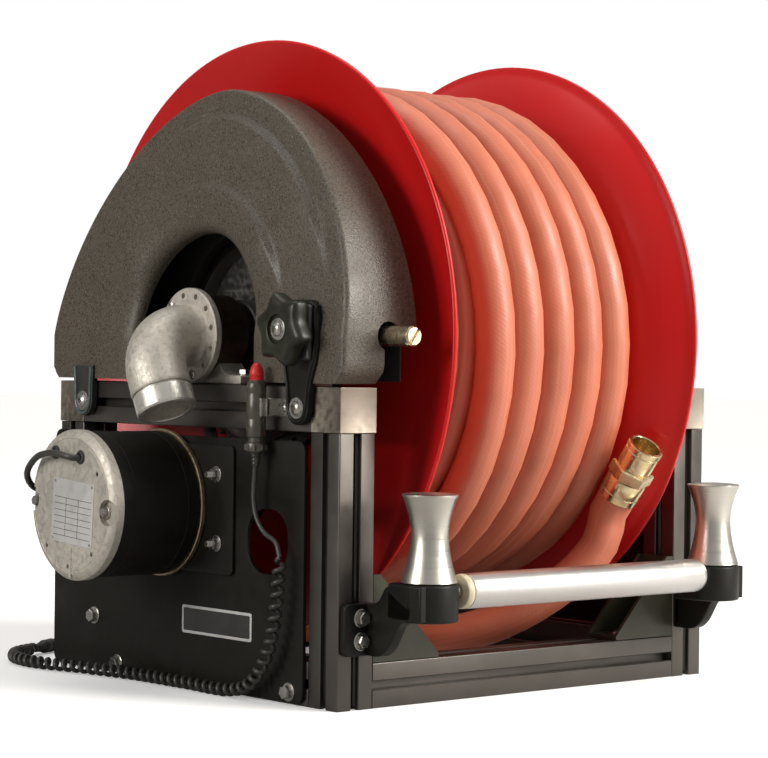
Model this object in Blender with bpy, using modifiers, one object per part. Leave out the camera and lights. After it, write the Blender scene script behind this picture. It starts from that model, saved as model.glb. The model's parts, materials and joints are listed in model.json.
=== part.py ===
"""Motor-driven fire hose reel on an aluminium T-slot frame.

The drum turns about X, the hose pays out over the front rollers at -Y, and the drive is on the left side at -X.
Sizes are in metres. Every piece is placed in reel coordinates, where the drum's axis lies over the origin, and the
frame empty then moves them all so that the origin is at the middle of the whole reel's footprint."""

import math

import bmesh
import bpy
from mathutils import Matrix, Vector

MM = 0.001
GAP = 0.3 * MM  # between pieces that touch on the real reel

# Frame of 40 mm T-slot profile
PROFILE = 40 * MM
FRAME_X = 231 * MM  # half width over the posts
FRAME_Y = 218 * MM  # half depth over the posts
FRAME_TOP = 281 * MM
POST_X = FRAME_X - PROFILE / 2
POST_Y = FRAME_Y - PROFILE / 2
RAIL_Z = FRAME_TOP - PROFILE / 2  # top rails' centre height
CAP_SIZE = 41.4 * MM
GUSSET_LEG = 77 * MM
GUSSET_WALL = 4 * MM
PLATE_THICKNESS = 4 * MM
PLATE_TOP = 233 * MM

# Drum and its shaft
AXIS_Z = 326 * MM
DISC_RADIUS = 280 * MM
DISC_X = 116 * MM  # the discs' flat part, on each side of the drum
RIM_X = 154 * MM  # the discs' flared rims
FLARE_RADIUS = 200 * MM
DISC_WALL = 2.5 * MM
CORE_RADIUS = 90 * MM
SHAFT_RADIUS = 22 * MM
SHAFT_BORE = 14 * MM
SHAFT_END = 226 * MM

# Hose
HOSE_RADIUS = 18.25 * MM
WINDING_RADIUS = 246 * MM
WINDING_HALF = 113 * MM
TAIL_END = Vector((109 * MM, -221 * MM, 178 * MM))
TAIL_HEADING = Vector((0, -0.6, 0.8))

# Bearings on the top rails
BEARING_X = 207 * MM
HOUSING_RADIUS = 38 * MM
HOUSING_HALF = 14 * MM
BEARING_RADIUS = 30 * MM

# Gear cover
COVER_HALF = 228 * MM
COVER_RISE = 231 * MM
COVER_SQUARENESS = 1.78  # 2 gives an ellipse, and less a slimmer dome
COVER_LEAN = 0.172  # how far the face leans back for each metre above the axis
COVER_ROUND = 4.5 * MM
COVER_FACE = -236 * MM
COVER_INNER = -153 * MM
COVER_WALL = 4 * MM
COVER_BOTTOM = 284 * MM
COVER_OPENING = 88 * MM
TAB_Y = 168 * MM

# Drive
MOTOR_Y = 33 * MM
MOTOR_Z = 169.5 * MM
MOTOR_RADIUS = 67 * MM
MOTOR_FACE = -341 * MM
CHAIN_X = -146 * MM
CHAIN_PITCH = 12.7 * MM
DRUM_TEETH = 55
PINION_TEETH = 11
CRANK_X = -185 * MM
CRANK_END = -262 * MM
CRANK_WHEEL = 22 * MM  # the crank's bevel wheel
CROWN_RADIUS = 92 * MM  # the drum's bevel ring, at the middle of its face

# Inlet
ELBOW_FACE = -228 * MM
ELBOW_TILT = math.radians(26)  # the outlet's lean from straight down towards the front
ELBOW_REACH = 70 * MM
ELBOW_DROP = 78 * MM
ELBOW_BEND = 42 * MM
ELBOW_RADIUS = 28 * MM
ELBOW_BORE = 22 * MM

# Front rollers
ROLLER_Y = -286 * MM
ROLLER_Z = 106 * MM
ROLLER_RADIUS = 15.5 * MM
ROLLER_HALF = 152 * MM
SPOOL_X = 180 * MM
SPOOL_Y = -279 * MM
SPOOL_FOOT = 114 * MM
SPOOL_HEIGHT = 76 * MM

# Brake and hand switch
BRAKE_Y = -168 * MM
BRAKE_Z = 331 * MM
SWITCH_X = -248.5 * MM
SWITCH_Y = -122 * MM

# The reel's footprint reaches from the motor to the right plate, and from the rollers to the discs' rear
LEFT_END = MOTOR_FACE
RIGHT_END = FRAME_X + GAP + PLATE_THICKNESS
FRONT_END = SPOOL_Y - 25.5 * MM
REAR_END = DISC_RADIUS
CENTRE_X = (LEFT_END + RIGHT_END) / 2
CENTRE_Y = (FRONT_END + REAR_END) / 2

TURN_X = (0, math.pi / 2, 0)  # turns local Z to world X
TURN_Y = (-math.pi / 2, 0, 0)  # turns local Z to world Y
UPRIGHT = (0, 0, 0)
FACING_X = Matrix(((0, 0, 1), (1, 0, 0), (0, 1, 0))).to_euler()  # a flat outline in YZ, its thickness along X
FACING_Y = Matrix(((1, 0, 0), (0, 0, -1), (0, 1, 0))).to_euler()  # a flat outline in XZ, its thickness along Y

PAINTS = {
    "anodised": ((0.36, 0.33, 0.33), 0.42, 0.9),
    "cast_aluminium": ((0.62, 0.60, 0.56), 0.45, 0.9),
    "polished": ((0.80, 0.80, 0.76), 0.22, 1.0),
    "black_steel": ((0.02, 0.02, 0.018), 0.35, 0.3),
    "moulded_plastic": ((0.14, 0.13, 0.12), 0.6, 0.0),
    "black_plastic": ((0.03, 0.03, 0.025), 0.45, 0.0),
    "red_paint": ((0.62, 0.02, 0.02), 0.25, 0.0),
    "hose_rubber": ((0.78, 0.33, 0.20), 0.5, 0.0),
    "brass": ((0.78, 0.58, 0.25), 0.25, 1.0),
    "bronze": ((0.18, 0.13, 0.07), 0.4, 0.9),
    "steel": ((0.45, 0.44, 0.42), 0.4, 1.0),
    "button_red": ((0.75, 0.03, 0.03), 0.45, 0.0),
    "cord_rubber": ((0.05, 0.05, 0.045), 0.6, 0.0),
}


def clear_scene():
    for obj in list(bpy.data.objects):
        bpy.data.objects.remove(obj)


def collection(name):
    made = bpy.data.collections.new(name)
    bpy.context.scene.collection.children.link(made)
    return made


def material(name):
    found = bpy.data.materials.get(name)
    if found:
        return found
    color, roughness, metallic = PAINTS[name]
    made = bpy.data.materials.new(name)
    made.use_nodes = True
    shader = made.node_tree.nodes["Principled BSDF"]
    shader.inputs["Base Color"].default_value = (*color, 1)
    shader.inputs["Roughness"].default_value = roughness
    shader.inputs["Metallic"].default_value = metallic
    return made


def add(name, data, paint, place=(0, 0, 0), turn=UPRIGHT):
    """An object of the reel, or of the cutters when paint is None."""
    obj = bpy.data.objects.new(name, data)
    obj.location = place
    obj.rotation_euler = turn
    if paint is None:
        CUTTERS.objects.link(obj)
        obj.hide_render = True
        obj.display_type = "WIRE"
    else:
        REEL.objects.link(obj)
        data.materials.append(material(paint))
    obj.parent = FRAME
    return obj


def box(name, low, high, paint, bevel=0, segments=2):
    mesh = bpy.data.meshes.new(name)
    shape = bmesh.new()
    bmesh.ops.create_cube(shape, size=1)
    size = Vector(high) - Vector(low)
    bmesh.ops.scale(shape, vec=size, verts=shape.verts)
    shape.to_mesh(mesh)
    shape.free()
    obj = add(name, mesh, paint, (Vector(low) + Vector(high)) / 2)
    if bevel:
        soften(obj, bevel, segments)
    return obj


def soften(obj, width, segments=2):
    rounding = obj.modifiers.new("rounding", "BEVEL")
    rounding.width = width
    rounding.segments = segments
    rounding.limit_method = "ANGLE"
    rounding.angle_limit = math.radians(40)


def cylinder(name, start, end, radius, paint, sides=32):
    """A round bar between two points of one axis."""
    start, end = Vector(start), Vector(end)
    mesh = bpy.data.meshes.new(name)
    shape = bmesh.new()
    bmesh.ops.create_cone(
        shape, cap_ends=True, segments=sides, radius1=radius, radius2=radius, depth=(end - start).length
    )
    shape.to_mesh(mesh)
    shape.free()
    shade_round(mesh)
    turn = Vector((0, 0, 1)).rotation_difference(end - start).to_euler()
    return add(name, mesh, paint, (start + end) / 2, turn)


def shade_round(mesh):
    mesh.shade_smooth()
    mesh.set_sharp_from_angle(angle=math.radians(35))


def turned(name, profile, paint, place, turn=TURN_X, steps=40, ring=False):
    """A turned solid. Its profile is (radius, height) points down the outer side, and a ring's profile closes."""
    mesh = bpy.data.meshes.new(name)
    points = [(radius, 0, height) for radius, height in profile]
    edges = [(i, i + 1) for i in range(len(points) - 1)]
    if ring:
        edges.append((len(points) - 1, 0))
    mesh.from_pydata(points, edges, [])
    obj = add(name, mesh, paint, place, turn)
    screw = obj.modifiers.new("turning", "SCREW")
    screw.steps = steps
    screw.render_steps = steps
    screw.use_merge_vertices = True
    screw.merge_threshold = 1e-6
    screw.use_smooth_shade = True
    return obj


def outline_solid(name, outlines, thickness, paint, place=(0, 0, 0), turn=UPRIGHT):
    """A flat piece of even thickness, centred on its plane. Outlines after the first are holes in it."""
    curve = bpy.data.curves.new(name, "CURVE")
    curve.dimensions = "2D"
    curve.fill_mode = "BOTH"
    curve.extrude = thickness / 2
    for outline in outlines:
        spline = curve.splines.new("POLY")
        spline.points.add(len(outline) - 1)
        for point, (u, v) in zip(spline.points, outline):
            point.co = (u, v, 0, 1)
        spline.use_cyclic_u = True
    return add(name, curve, paint, place, turn)


def tube(name, points, radius, paint, resolution=2):
    """A closed round tube through points, each in reel coordinates."""
    curve = bpy.data.curves.new(name, "CURVE")
    curve.dimensions = "3D"
    curve.bevel_depth = radius
    curve.bevel_resolution = resolution
    curve.use_fill_caps = True
    spline = curve.splines.new("POLY")
    spline.points.add(len(points) - 1)
    for point, co in zip(spline.points, points):
        point.co = (*co, 1)
    return add(name, curve, paint)


def as_mesh(obj):
    """The curve object made a closed mesh, so that Booleans can use it."""
    bpy.context.view_layer.update()
    graph = bpy.context.evaluated_depsgraph_get()
    mesh = bpy.data.meshes.new_from_object(obj.evaluated_get(graph))
    shape = bmesh.new()
    shape.from_mesh(mesh)
    bmesh.ops.remove_doubles(shape, verts=shape.verts, dist=1e-6)
    bmesh.ops.recalc_face_normals(shape, faces=shape.faces)
    shape.to_mesh(mesh)
    shape.free()
    name = obj.name
    made = bpy.data.objects.new(name + "_mesh", mesh)
    made.location = obj.location
    made.rotation_euler = obj.rotation_euler
    made.parent = FRAME
    made.hide_render = obj.hide_render
    made.display_type = obj.display_type
    for holder in obj.users_collection:
        holder.objects.link(made)
    bpy.data.objects.remove(obj)
    made.name = name
    return made


def boolean(obj, operation, *others):
    for other in others:
        step = obj.modifiers.new(operation.lower(), "BOOLEAN")
        step.operation = operation
        step.object = other


def join(obj, *others):
    """Makes the others part of obj. They stay as hidden cutters."""
    boolean(obj, "UNION", *others)


def cut(obj, *others):
    boolean(obj, "DIFFERENCE", *others)


def arc(centre, radius, first, last, count):
    """Points along an arc in a flat outline, angles in degrees."""
    steps = [math.radians(first + (last - first) * i / (count - 1)) for i in range(count)]
    return [(centre[0] + radius * math.cos(a), centre[1] + radius * math.sin(a)) for a in steps]


def circle(centre, radius, count=24):
    return arc(centre, radius, 0, 360, count + 1)[:-1]


def rounded(low, high, radius, count=5):
    """A rectangle's outline with round corners."""
    corners = (
        ((high[0] - radius, low[1] + radius), -90),
        ((high[0] - radius, high[1] - radius), 0),
        ((low[0] + radius, high[1] - radius), 90),
        ((low[0] + radius, low[1] + radius), 180),
    )
    return [p for centre, first in corners for p in arc(centre, radius, first, first + 90, count)]


def smooth_route(knots, spacing):
    """Points about spacing apart on one smooth curve through knots (Catmull-Rom)."""
    knots = [Vector(k) for k in knots]
    ends = [2 * knots[0] - knots[1], *knots, 2 * knots[-1] - knots[-2]]
    route = []
    for before, start, end, after in zip(ends, ends[1:], ends[2:], ends[3:]):
        count = max(1, round((end - start).length / spacing))
        for i in range(count):
            t = i / count
            route.append(
                0.5
                * (
                    2 * start
                    + (end - before) * t
                    + (2 * before - 5 * start + 4 * end - after) * t**2
                    + (3 * start - before - 3 * end + after) * t**3
                )
            )
    return [*route, knots[-1]]


# --- Frame ---------------------------------------------------------------------------------------------------------


def t_slot_outline():
    """The profile's section: a square with a T-slot in the middle of each side."""
    half, mouth, lip = PROFILE / 2, 4 * MM, 4.5 * MM
    inside, floor = 8 * MM, 9.5 * MM
    side = [
        (half, -half),
        (half, -mouth),
        (half - lip, -mouth),
        (half - lip, -inside),
        (half - floor, -inside / 2),
        (half - floor, inside / 2),
        (half - lip, inside),
        (half - lip, mouth),
        (half, mouth),
    ]
    quarter_turns = ((1, 0), (0, 1), (-1, 0), (0, -1))
    return [(c * u - s * v, s * u + c * v) for c, s in quarter_turns for u, v in side]


def profile_bar(name, centre, length, turn):
    return outline_solid(name, [t_slot_outline()], length, "anodised", centre, turn)


def make_frame():
    post_height = FRAME_TOP - PROFILE - GAP
    span_x = 2 * (FRAME_X - PROFILE - GAP)
    span_y = 2 * (FRAME_Y - PROFILE - GAP)
    for depth, y in (("front", -POST_Y), ("rear", POST_Y)):
        for side, x in (("left", -POST_X), ("right", POST_X)):
            profile_bar(f"post_{depth}_{side}", (x, y, post_height / 2), post_height, UPRIGHT)
            make_corner_cap(f"corner_cap_{depth}_{side}", x, y)
            make_gusset(f"gusset_{depth}_{side}", x, y)
        profile_bar(f"base_rail_{depth}", (0, y, PROFILE / 2), span_x, TURN_X)
    for side, x in (("left", -POST_X), ("right", POST_X)):
        profile_bar(f"base_rail_{side}", (x, 0, PROFILE / 2), span_y, TURN_Y)
        profile_bar(f"top_rail_{side}", (x, 0, RAIL_Z), span_y, TURN_Y)


def make_corner_cap(name, x, y):
    """The casting that joins a post to its top rail. It stands a little proud of both on the outside."""
    inner = FRAME_Y - PROFILE + GAP
    outer = inner + CAP_SIZE - GAP
    near, far = sorted((math.copysign(inner, y), math.copysign(outer, y)))
    half = CAP_SIZE / 2
    foot = FRAME_TOP - PROFILE
    box(name, (x - half, near, foot), (x + half, far, FRAME_TOP), "cast_aluminium", 1.6 * MM, 1)


def make_gusset(name, x, y):
    """A corner bracket between a post and a base rail: two legs joined by two triangular webs."""
    start = FRAME_X - PROFILE - GAP
    foot = PROFILE + GAP
    tip = 8 * MM
    outer = [(0, 0), (-GUSSET_LEG, 0), (-GUSSET_LEG, tip / 2), (-tip, GUSSET_LEG), (0, GUSSET_LEG)]
    wall = GUSSET_WALL
    pocket = [(-wall, wall), (-2 * GUSSET_LEG, wall), (-2 * GUSSET_LEG, 2 * GUSSET_LEG), (-wall, 2 * GUSSET_LEG)]
    side = math.copysign(1, x)
    flip = 1 if side > 0 else -1
    outer = [(flip * u, v) for u, v in outer][:: -flip]
    pocket = [(flip * u, v) for u, v in pocket][:: -flip]
    place = (side * start, y, foot)
    body = as_mesh(outline_solid(name, [outer], PROFILE - 2 * GAP, "black_steel", place, FACING_Y))
    cutter = as_mesh(outline_solid(name + "_pocket", [pocket], PROFILE - 2 * wall, None, place, FACING_Y))
    cut(body, cutter)


def make_side_plates():
    plate_x = FRAME_X + GAP + PLATE_THICKNESS / 2
    front, rear = -FRAME_Y + PROFILE + 3 * MM, FRAME_Y + 3 * MM
    outline = rounded((front, 2 * MM), (rear, PLATE_TOP), 9 * MM)
    left_holes = [
        circle((MOTOR_Y, MOTOR_Z), HOUSING_RADIUS + 3 * MM, 28),
        rounded((-152 * MM, 113 * MM), (-94 * MM, 171 * MM), 24 * MM),
    ]
    outline_solid("side_plate_left", [outline, *left_holes], PLATE_THICKNESS, "black_steel", (-plate_x, 0, 0), FACING_X)
    outline_solid("side_plate_right", [outline], PLATE_THICKNESS, "black_steel", (plate_x, 0, 0), FACING_X)


def make_pillow_block(side, x):
    """A bearing housing on a foot that is bolted to the top rail."""
    foot_z = FRAME_TOP + GAP
    housing = HOUSING_RADIUS
    lean = math.degrees(math.acos(housing / math.hypot(56 * MM, AXIS_Z - foot_z - 8 * MM)))
    down = math.degrees(math.atan2(foot_z + 8 * MM - AXIS_Z, 56 * MM))
    crown = arc((0, AXIS_Z), housing, down + lean, 180 - down - lean, 25)
    outline = [(-62 * MM, foot_z), (62 * MM, foot_z), (62 * MM, foot_z + 8 * MM), (56 * MM, foot_z + 8 * MM)]
    outline += crown + [(-56 * MM, foot_z + 8 * MM), (-62 * MM, foot_z + 8 * MM)]
    bore = circle((0, AXIS_Z), BEARING_RADIUS + GAP, 36)
    outline_solid(
        f"pillow_block_{side}", [outline, bore], 2 * HOUSING_HALF, "cast_aluminium", (x, 0, 0), FACING_X
    )
    inner, outer, half = SHAFT_RADIUS + GAP, BEARING_RADIUS, HOUSING_HALF - 2 * MM
    turned(
        f"bearing_{side}",
        [(outer, half), (outer, -half), (inner, -half), (inner, half)],
        "steel",
        (x, 0, AXIS_Z),
        steps=36,
        ring=True,
    )


def dome(inset, floor, count=37):
    """The cover's outline in YZ, its two feet first. The arc starts and ends level with the axis."""
    edge, power = 12 * MM, 2 / COVER_SQUARENESS
    half, rise = COVER_HALF - inset, COVER_RISE - inset
    crown = []
    for i in range(count):
        angle = math.pi * i / (count - 1)
        across = math.copysign(abs(math.cos(angle)) ** power, math.cos(angle)) if 0 < i < count - 1 else 1 - 2 * (i > 0)
        up = max(0, math.sin(angle)) ** power if 0 < i < count - 1 else 0
        crown.append((half * across, AXIS_Z + rise * up))
    return [(half - edge, floor), (half, floor + edge), *crown, (-half, floor + edge), (edge - half, floor)]


def domed_block(name, insets, floor, back, paint=None):
    """A block under the dome, from the leaning face to a flat back. Each inset is (from the outline, behind the face)."""
    shape = bmesh.new()
    rings = [[shape.verts.new((back, y, z)) for y, z in dome(insets[0][0], floor)]]
    for inset, behind in insets:
        points = dome(inset, floor)
        faces = [COVER_FACE + behind + COVER_LEAN * max(0, z - AXIS_Z) for y, z in points]
        rings.append([shape.verts.new((x, y, z)) for x, (y, z) in zip(faces, points)])
    count = len(rings[0])
    for first, second in zip(rings, rings[1:]):
        for i in range(count):
            j = (i + 1) % count
            shape.faces.new((first[i], first[j], second[j], second[i]))
    shape.faces.new(rings[0][::-1])
    crown = rings[-1][2:-2]
    shape.faces.new(crown)
    shape.faces.new([*rings[-1][:2], crown[0], crown[-1], *rings[-1][-2:]])
    bmesh.ops.recalc_face_normals(shape, faces=shape.faces)
    mesh = bpy.data.meshes.new(name)
    shape.to_mesh(mesh)
    shape.free()
    return add(name, mesh, paint)


def make_cover():
    """The moulded shell over the chain drive, with an arch at the bottom for the shaft and two straps to the rail."""
    depth = COVER_INNER - COVER_FACE
    centre = (COVER_INNER + COVER_FACE) / 2

    def slab(name, outline, thickness, x, paint=None):
        return as_mesh(outline_solid(name, [outline], thickness, paint, (x, 0, 0), FACING_X))

    corner = [(COVER_ROUND * (1 - math.cos(math.radians(a))), COVER_ROUND * (1 - math.sin(math.radians(a)))) for a in (0, 30, 60, 90)]
    cover = domed_block("gear_cover", corner, COVER_BOTTOM, COVER_INNER, "moulded_plastic")
    hollow = domed_block(
        "cover_hollow", [(COVER_WALL, COVER_WALL)], COVER_BOTTOM - 50 * MM, COVER_INNER + 10 * MM
    )
    arch = arc((0, AXIS_Z), COVER_OPENING, 0, 180, 25)
    below = COVER_BOTTOM - 40 * MM
    arch = [(COVER_OPENING, below), *arch, (-COVER_OPENING, below)]
    opening = slab("cover_arch", arch, depth, centre - COVER_WALL)
    crank_hole = cylinder(
        "cover_crank_hole", (CRANK_X, -150 * MM, AXIS_Z), (CRANK_X, -260 * MM, AXIS_Z), 13 * MM, None, 24
    )
    crank_slot = box(
        "cover_crank_slot",
        (CRANK_X - 5 * MM, -260 * MM, COVER_BOTTOM - 20 * MM),
        (COVER_INNER + 10 * MM, -180 * MM, AXIS_Z),
        None,
    )
    cut(cover, hollow, opening, crank_hole, crank_slot)
    for side, y in (("front", -TAB_Y), ("rear", TAB_Y)):
        bottom = arc((y, 262 * MM), 15 * MM, 180, 360, 9)
        strap = [*bottom, (y + 17 * MM, 330 * MM), (y - 17 * MM, 330 * MM)]
        make_strap(cover, slab(f"cover_strap_{side}", strap, 7 * MM, COVER_FACE + 0.2 * MM), side)
    return cover


def make_strap(cover, strap, side):
    """A strap hangs over the top rail's outer face, clear of it."""
    join(cover, strap)
    strap.name = f"cover_strap_{side}"


# --- Drum and hose -------------------------------------------------------------------------------------------------


def disc_profile():
    """A spun disc, local Z away from the drum: flat to the flare, then a curve out to the rim and a rolled edge."""
    hub = SHAFT_RADIUS + 0.5 * MM
    rise = RIM_X - DISC_X
    run = DISC_RADIUS - FLARE_RADIUS
    steps = 5
    flare = [(FLARE_RADIUS + run * i / steps, rise * (i / steps) ** 1.7) for i in range(steps + 1)]
    outside = [(hub, DISC_WALL), *[(r, z + DISC_WALL) for r, z in flare]]
    inside = [(r, z) for r, z in flare[::-1]]
    return [*outside, *inside, (hub, 0)]


def make_drum():
    for side, sign in (("left", -1), ("right", 1)):
        profile = disc_profile()
        if sign < 0:
            profile = [(r, -z) for r, z in profile]
        else:
            profile = profile[::-1]
        turned(
            f"drum_disc_{side}",
            profile[::-1],
            "red_paint",
            (sign * DISC_X, 0, AXIS_Z),
            steps=44,
            ring=True,
        )
    half = DISC_X - GAP
    wall = 4 * MM
    turned(
        "drum_core",
        [(CORE_RADIUS, half), (CORE_RADIUS, -half), (CORE_RADIUS - wall, -half), (CORE_RADIUS - wall, half)],
        "red_paint",
        (0, 0, AXIS_Z),
        steps=40,
        ring=True,
    )
    turned(
        "drum_shaft",
        [(SHAFT_RADIUS, SHAFT_END), (SHAFT_RADIUS, -SHAFT_END), (SHAFT_BORE, -SHAFT_END), (SHAFT_BORE, SHAFT_END)],
        "steel",
        (0, 0, AXIS_Z),
        steps=32,
        ring=True,
    )
    make_drum_sprocket()


def pitch_radius(teeth):
    return CHAIN_PITCH / (2 * math.sin(math.pi / teeth))


def make_drum_sprocket():
    """The chain wheel with the bevel ring for the hand crank on its left face, and a hub along the shaft."""
    plate = 6 * MM
    bore = circle((0, 0), SHAFT_RADIUS + GAP, 32)
    place = (CHAIN_X, 0, AXIS_Z)
    wheel = as_mesh(outline_solid("drum_sprocket", [circle((0, 0), pitch_radius(DRUM_TEETH), DRUM_TEETH), bore], plate, "steel", place, FACING_X))
    face = CRANK_X + CRANK_WHEEL + 0.4 * MM - CHAIN_X
    slope = 8 * MM
    bevel_ring = turned(
        "sprocket_bevel_ring",
        [
            (CROWN_RADIUS + slope, 0),
            (CROWN_RADIUS + slope, face + 0.5 * MM),
            (CROWN_RADIUS - slope, face + 0.5 * MM),
            (CROWN_RADIUS - slope, 0),
        ],
        None,
        place,
        steps=40,
        ring=True,
    )
    hub_end = -DISC_X - DISC_WALL - GAP - CHAIN_X
    hub = turned(
        "sprocket_hub",
        [(40 * MM, hub_end), (40 * MM, -34 * MM), (SHAFT_RADIUS + GAP, -34 * MM), (SHAFT_RADIUS + GAP, hub_end)],
        None,
        place,
        steps=32,
        ring=True,
    )
    join(wheel, bevel_ring, hub)


def make_hose():
    outer, inner, half = WINDING_RADIUS, CORE_RADIUS + GAP, WINDING_HALF
    shoulder = HOSE_RADIUS * 0.7
    turned(
        "hose_winding",
        [
            (outer - shoulder, half),
            (outer, half - shoulder),
            (outer, shoulder - half),
            (outer - shoulder, -half),
            (inner, -half),
            (inner, half),
        ],
        "hose_rubber",
        (0, 0, AXIS_Z),
        steps=48,
        ring=True,
    )
    tube("hose_tail", smooth_route(hose_tail_knots(), 42 * MM), HOSE_RADIUS, "hose_rubber", 3)
    make_coupling()


def around_drum(x, radius, angle):
    """A point by its distance from the drum's axis and its angle in degrees, from the front going down and back."""
    a = math.radians(angle)
    return Vector((x, -radius * math.cos(a), AXIS_Z - radius * math.sin(a)))


def hose_tail_knots():
    """The loose end: it leaves the winding under the drum, sags to the front and rises along the right disc."""
    return [
        around_drum(-76 * MM, 266 * MM, 118),
        around_drum(-64 * MM, 279 * MM, 102),
        around_drum(-40 * MM, 292 * MM, 87),
        around_drum(-5 * MM, 300 * MM, 74),
        around_drum(40 * MM, 302 * MM, 63),
        around_drum(80 * MM, 294 * MM, 52),
        around_drum(103 * MM, 282 * MM, 43.5),
        TAIL_END - TAIL_HEADING * 20 * MM,
        TAIL_END,
    ]


def make_coupling():
    """The brass end on the hose: a crimped ferrule, a collar and a threaded nose with a hollow mouth."""
    start = TAIL_END + TAIL_HEADING * GAP
    turn = Vector((0, 0, 1)).rotation_difference(TAIL_HEADING).to_euler()
    r = HOSE_RADIUS
    profile = [
        (0, 30 * MM),
        (14 * MM, 30 * MM),
        (14 * MM, 62 * MM),
        (17 * MM, 62 * MM),
        (18 * MM, 60 * MM),
        (18 * MM, 42 * MM),
        (20.5 * MM, 41 * MM),
        (20.5 * MM, 27 * MM),
        (r + 1 * MM, 25 * MM),
        (r + 1 * MM, 0),
        (0, 0),
    ]
    turned("hose_coupling", profile, "brass", start, turn, steps=24)


# --- Inlet ---------------------------------------------------------------------------------------------------------


def make_inlet():
    """The swivel on the shaft's end, and the elbow that the supply pipe joins."""
    block_face = -BEARING_X - HOUSING_HALF
    half = (block_face - ELBOW_FACE) / 2 - GAP
    inner = SHAFT_RADIUS + GAP
    turned(
        "swivel_body",
        [(34 * MM, half), (34 * MM, -half), (inner, -half), (inner, half)],
        "bronze",
        ((block_face + ELBOW_FACE) / 2, 0, AXIS_Z),
        steps=32,
        ring=True,
    )
    bend_start = ELBOW_REACH - ELBOW_BEND - 8 * MM
    straight_down = ELBOW_DROP - ELBOW_BEND
    rows = []
    for i in range(7):
        angle = math.radians(90 * i / 6)
        along = bend_start + ELBOW_BEND * math.sin(angle)
        down = ELBOW_BEND * (1 - math.cos(angle))
        rows.append((along, down, angle))
    end = rows[-1]
    rows = [(0, 0, 0), *rows, (end[0], ELBOW_BEND + straight_down, end[2])]
    outside = sweep_mesh("inlet_elbow", rows, ELBOW_RADIUS)
    base = (ELBOW_FACE, 0, AXIS_Z)
    elbow = add("inlet_elbow", outside, "cast_aluminium", base, (-ELBOW_TILT, 0, 0))
    longer = [(-20 * MM, 0, 0), *rows[1:-1], (end[0], ELBOW_BEND + straight_down + 20 * MM, end[2])]
    bore = add("elbow_bore", sweep_mesh("elbow_bore", longer, ELBOW_BORE), None, base, (-ELBOW_TILT, 0, 0))
    flange = turned(
        "elbow_flange", [(0, 8 * MM), (44 * MM, 8 * MM), (44 * MM, 0), (0, 0)], None, base, (0, -math.pi / 2, 0), 36
    )
    join(elbow, flange)
    cut(elbow, bore)


def sweep_mesh(name, rows, radius, sides=20):
    """A closed round tube that leaves along -X and bends down. Each row is (along, down, bend angle)."""
    shape = bmesh.new()
    rings = []
    for along, down, angle in rows:
        ring = []
        for k in range(sides):
            turn = math.tau * k / sides
            across, out = radius * math.cos(turn), radius * math.sin(turn)
            ring.append(shape.verts.new((-(along + out * math.sin(angle)), across, out * math.cos(angle) - down)))
        rings.append(ring)
    for near, far in zip(rings, rings[1:]):
        for k in range(sides):
            shape.faces.new((near[k], near[(k + 1) % sides], far[(k + 1) % sides], far[k]))
    shape.faces.new(rings[0])
    shape.faces.new(rings[-1])
    bmesh.ops.recalc_face_normals(shape, faces=shape.faces)
    mesh = bpy.data.meshes.new(name)
    shape.to_mesh(mesh)
    shape.free()
    shade_round(mesh)
    return mesh


# --- Drive ---------------------------------------------------------------------------------------------------------


def make_motor():
    inner = -(FRAME_X + GAP)
    plate_x = inner - PLATE_THICKNESS - GAP - 1.5 * MM
    pilot = circle((MOTOR_Y, MOTOR_Z), 28 * MM, 28)
    outline_solid(
        "motor_plate",
        [rounded((-76 * MM, 108 * MM), (130 * MM, 226 * MM), 6 * MM), pilot],
        3 * MM,
        "black_steel",
        (plate_x, 0, 0),
        FACING_X,
    )
    ring_start = plate_x - 1.5 * MM - GAP
    centre = Vector((0, MOTOR_Y, MOTOR_Z))

    def at(x):
        return centre + Vector((x, 0, 0))

    cylinder("motor_flange", at(ring_start), at(ring_start - 5 * MM), MOTOR_RADIUS + 2 * MM, "cast_aluminium", 48)
    can_start, can_end = ring_start - 5 * MM - GAP, MOTOR_FACE + 12.5 * MM + GAP
    cylinder("motor_can", at(can_start), at(can_end), MOTOR_RADIUS, "black_steel", 48)
    bell = turned(
        "motor_end_bell",
        [
            (0, 12.5 * MM),
            (MOTOR_RADIUS - 5 * MM, 12.5 * MM),
            (MOTOR_RADIUS + 1 * MM, 9.5 * MM),
            (MOTOR_RADIUS + 2 * MM, 8 * MM),
            (MOTOR_RADIUS + 2 * MM, 0),
            (0, 0),
        ],
        "cast_aluminium",
        at(can_end - GAP),
        (0, -math.pi / 2, 0),
        48,
    )
    for y, z in ((-52 * MM, -4 * MM), (58 * MM, 3 * MM)):
        cutter = cylinder(
            f"bell_notch_{'front' if y < 0 else 'rear'}",
            at(MOTOR_FACE - 5 * MM) + Vector((0, y * 1.12, z)),
            at(MOTOR_FACE + 7 * MM) + Vector((0, y * 1.12, z)),
            12 * MM,
            None,
            20,
        )
        cut(bell, cutter)
    gear_end = -168 * MM
    cylinder("gear_head", at(plate_x + 1.5 * MM + GAP), at(gear_end), HOUSING_RADIUS, "cast_aluminium", 32)
    make_pinion(at(gear_end + GAP), centre)


def make_pinion(start, centre):
    wheel = as_mesh(
        outline_solid(
            "motor_pinion",
            [circle((0, 0), pitch_radius(PINION_TEETH), 2 * PINION_TEETH)],
            6 * MM,
            "steel",
            (CHAIN_X, centre.y, centre.z),
            FACING_X,
        )
    )
    shaft = cylinder("pinion_shaft", start, Vector((CHAIN_X + 5 * MM, centre.y, centre.z)), 9 * MM, None, 20)
    join(wheel, shaft)


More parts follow.
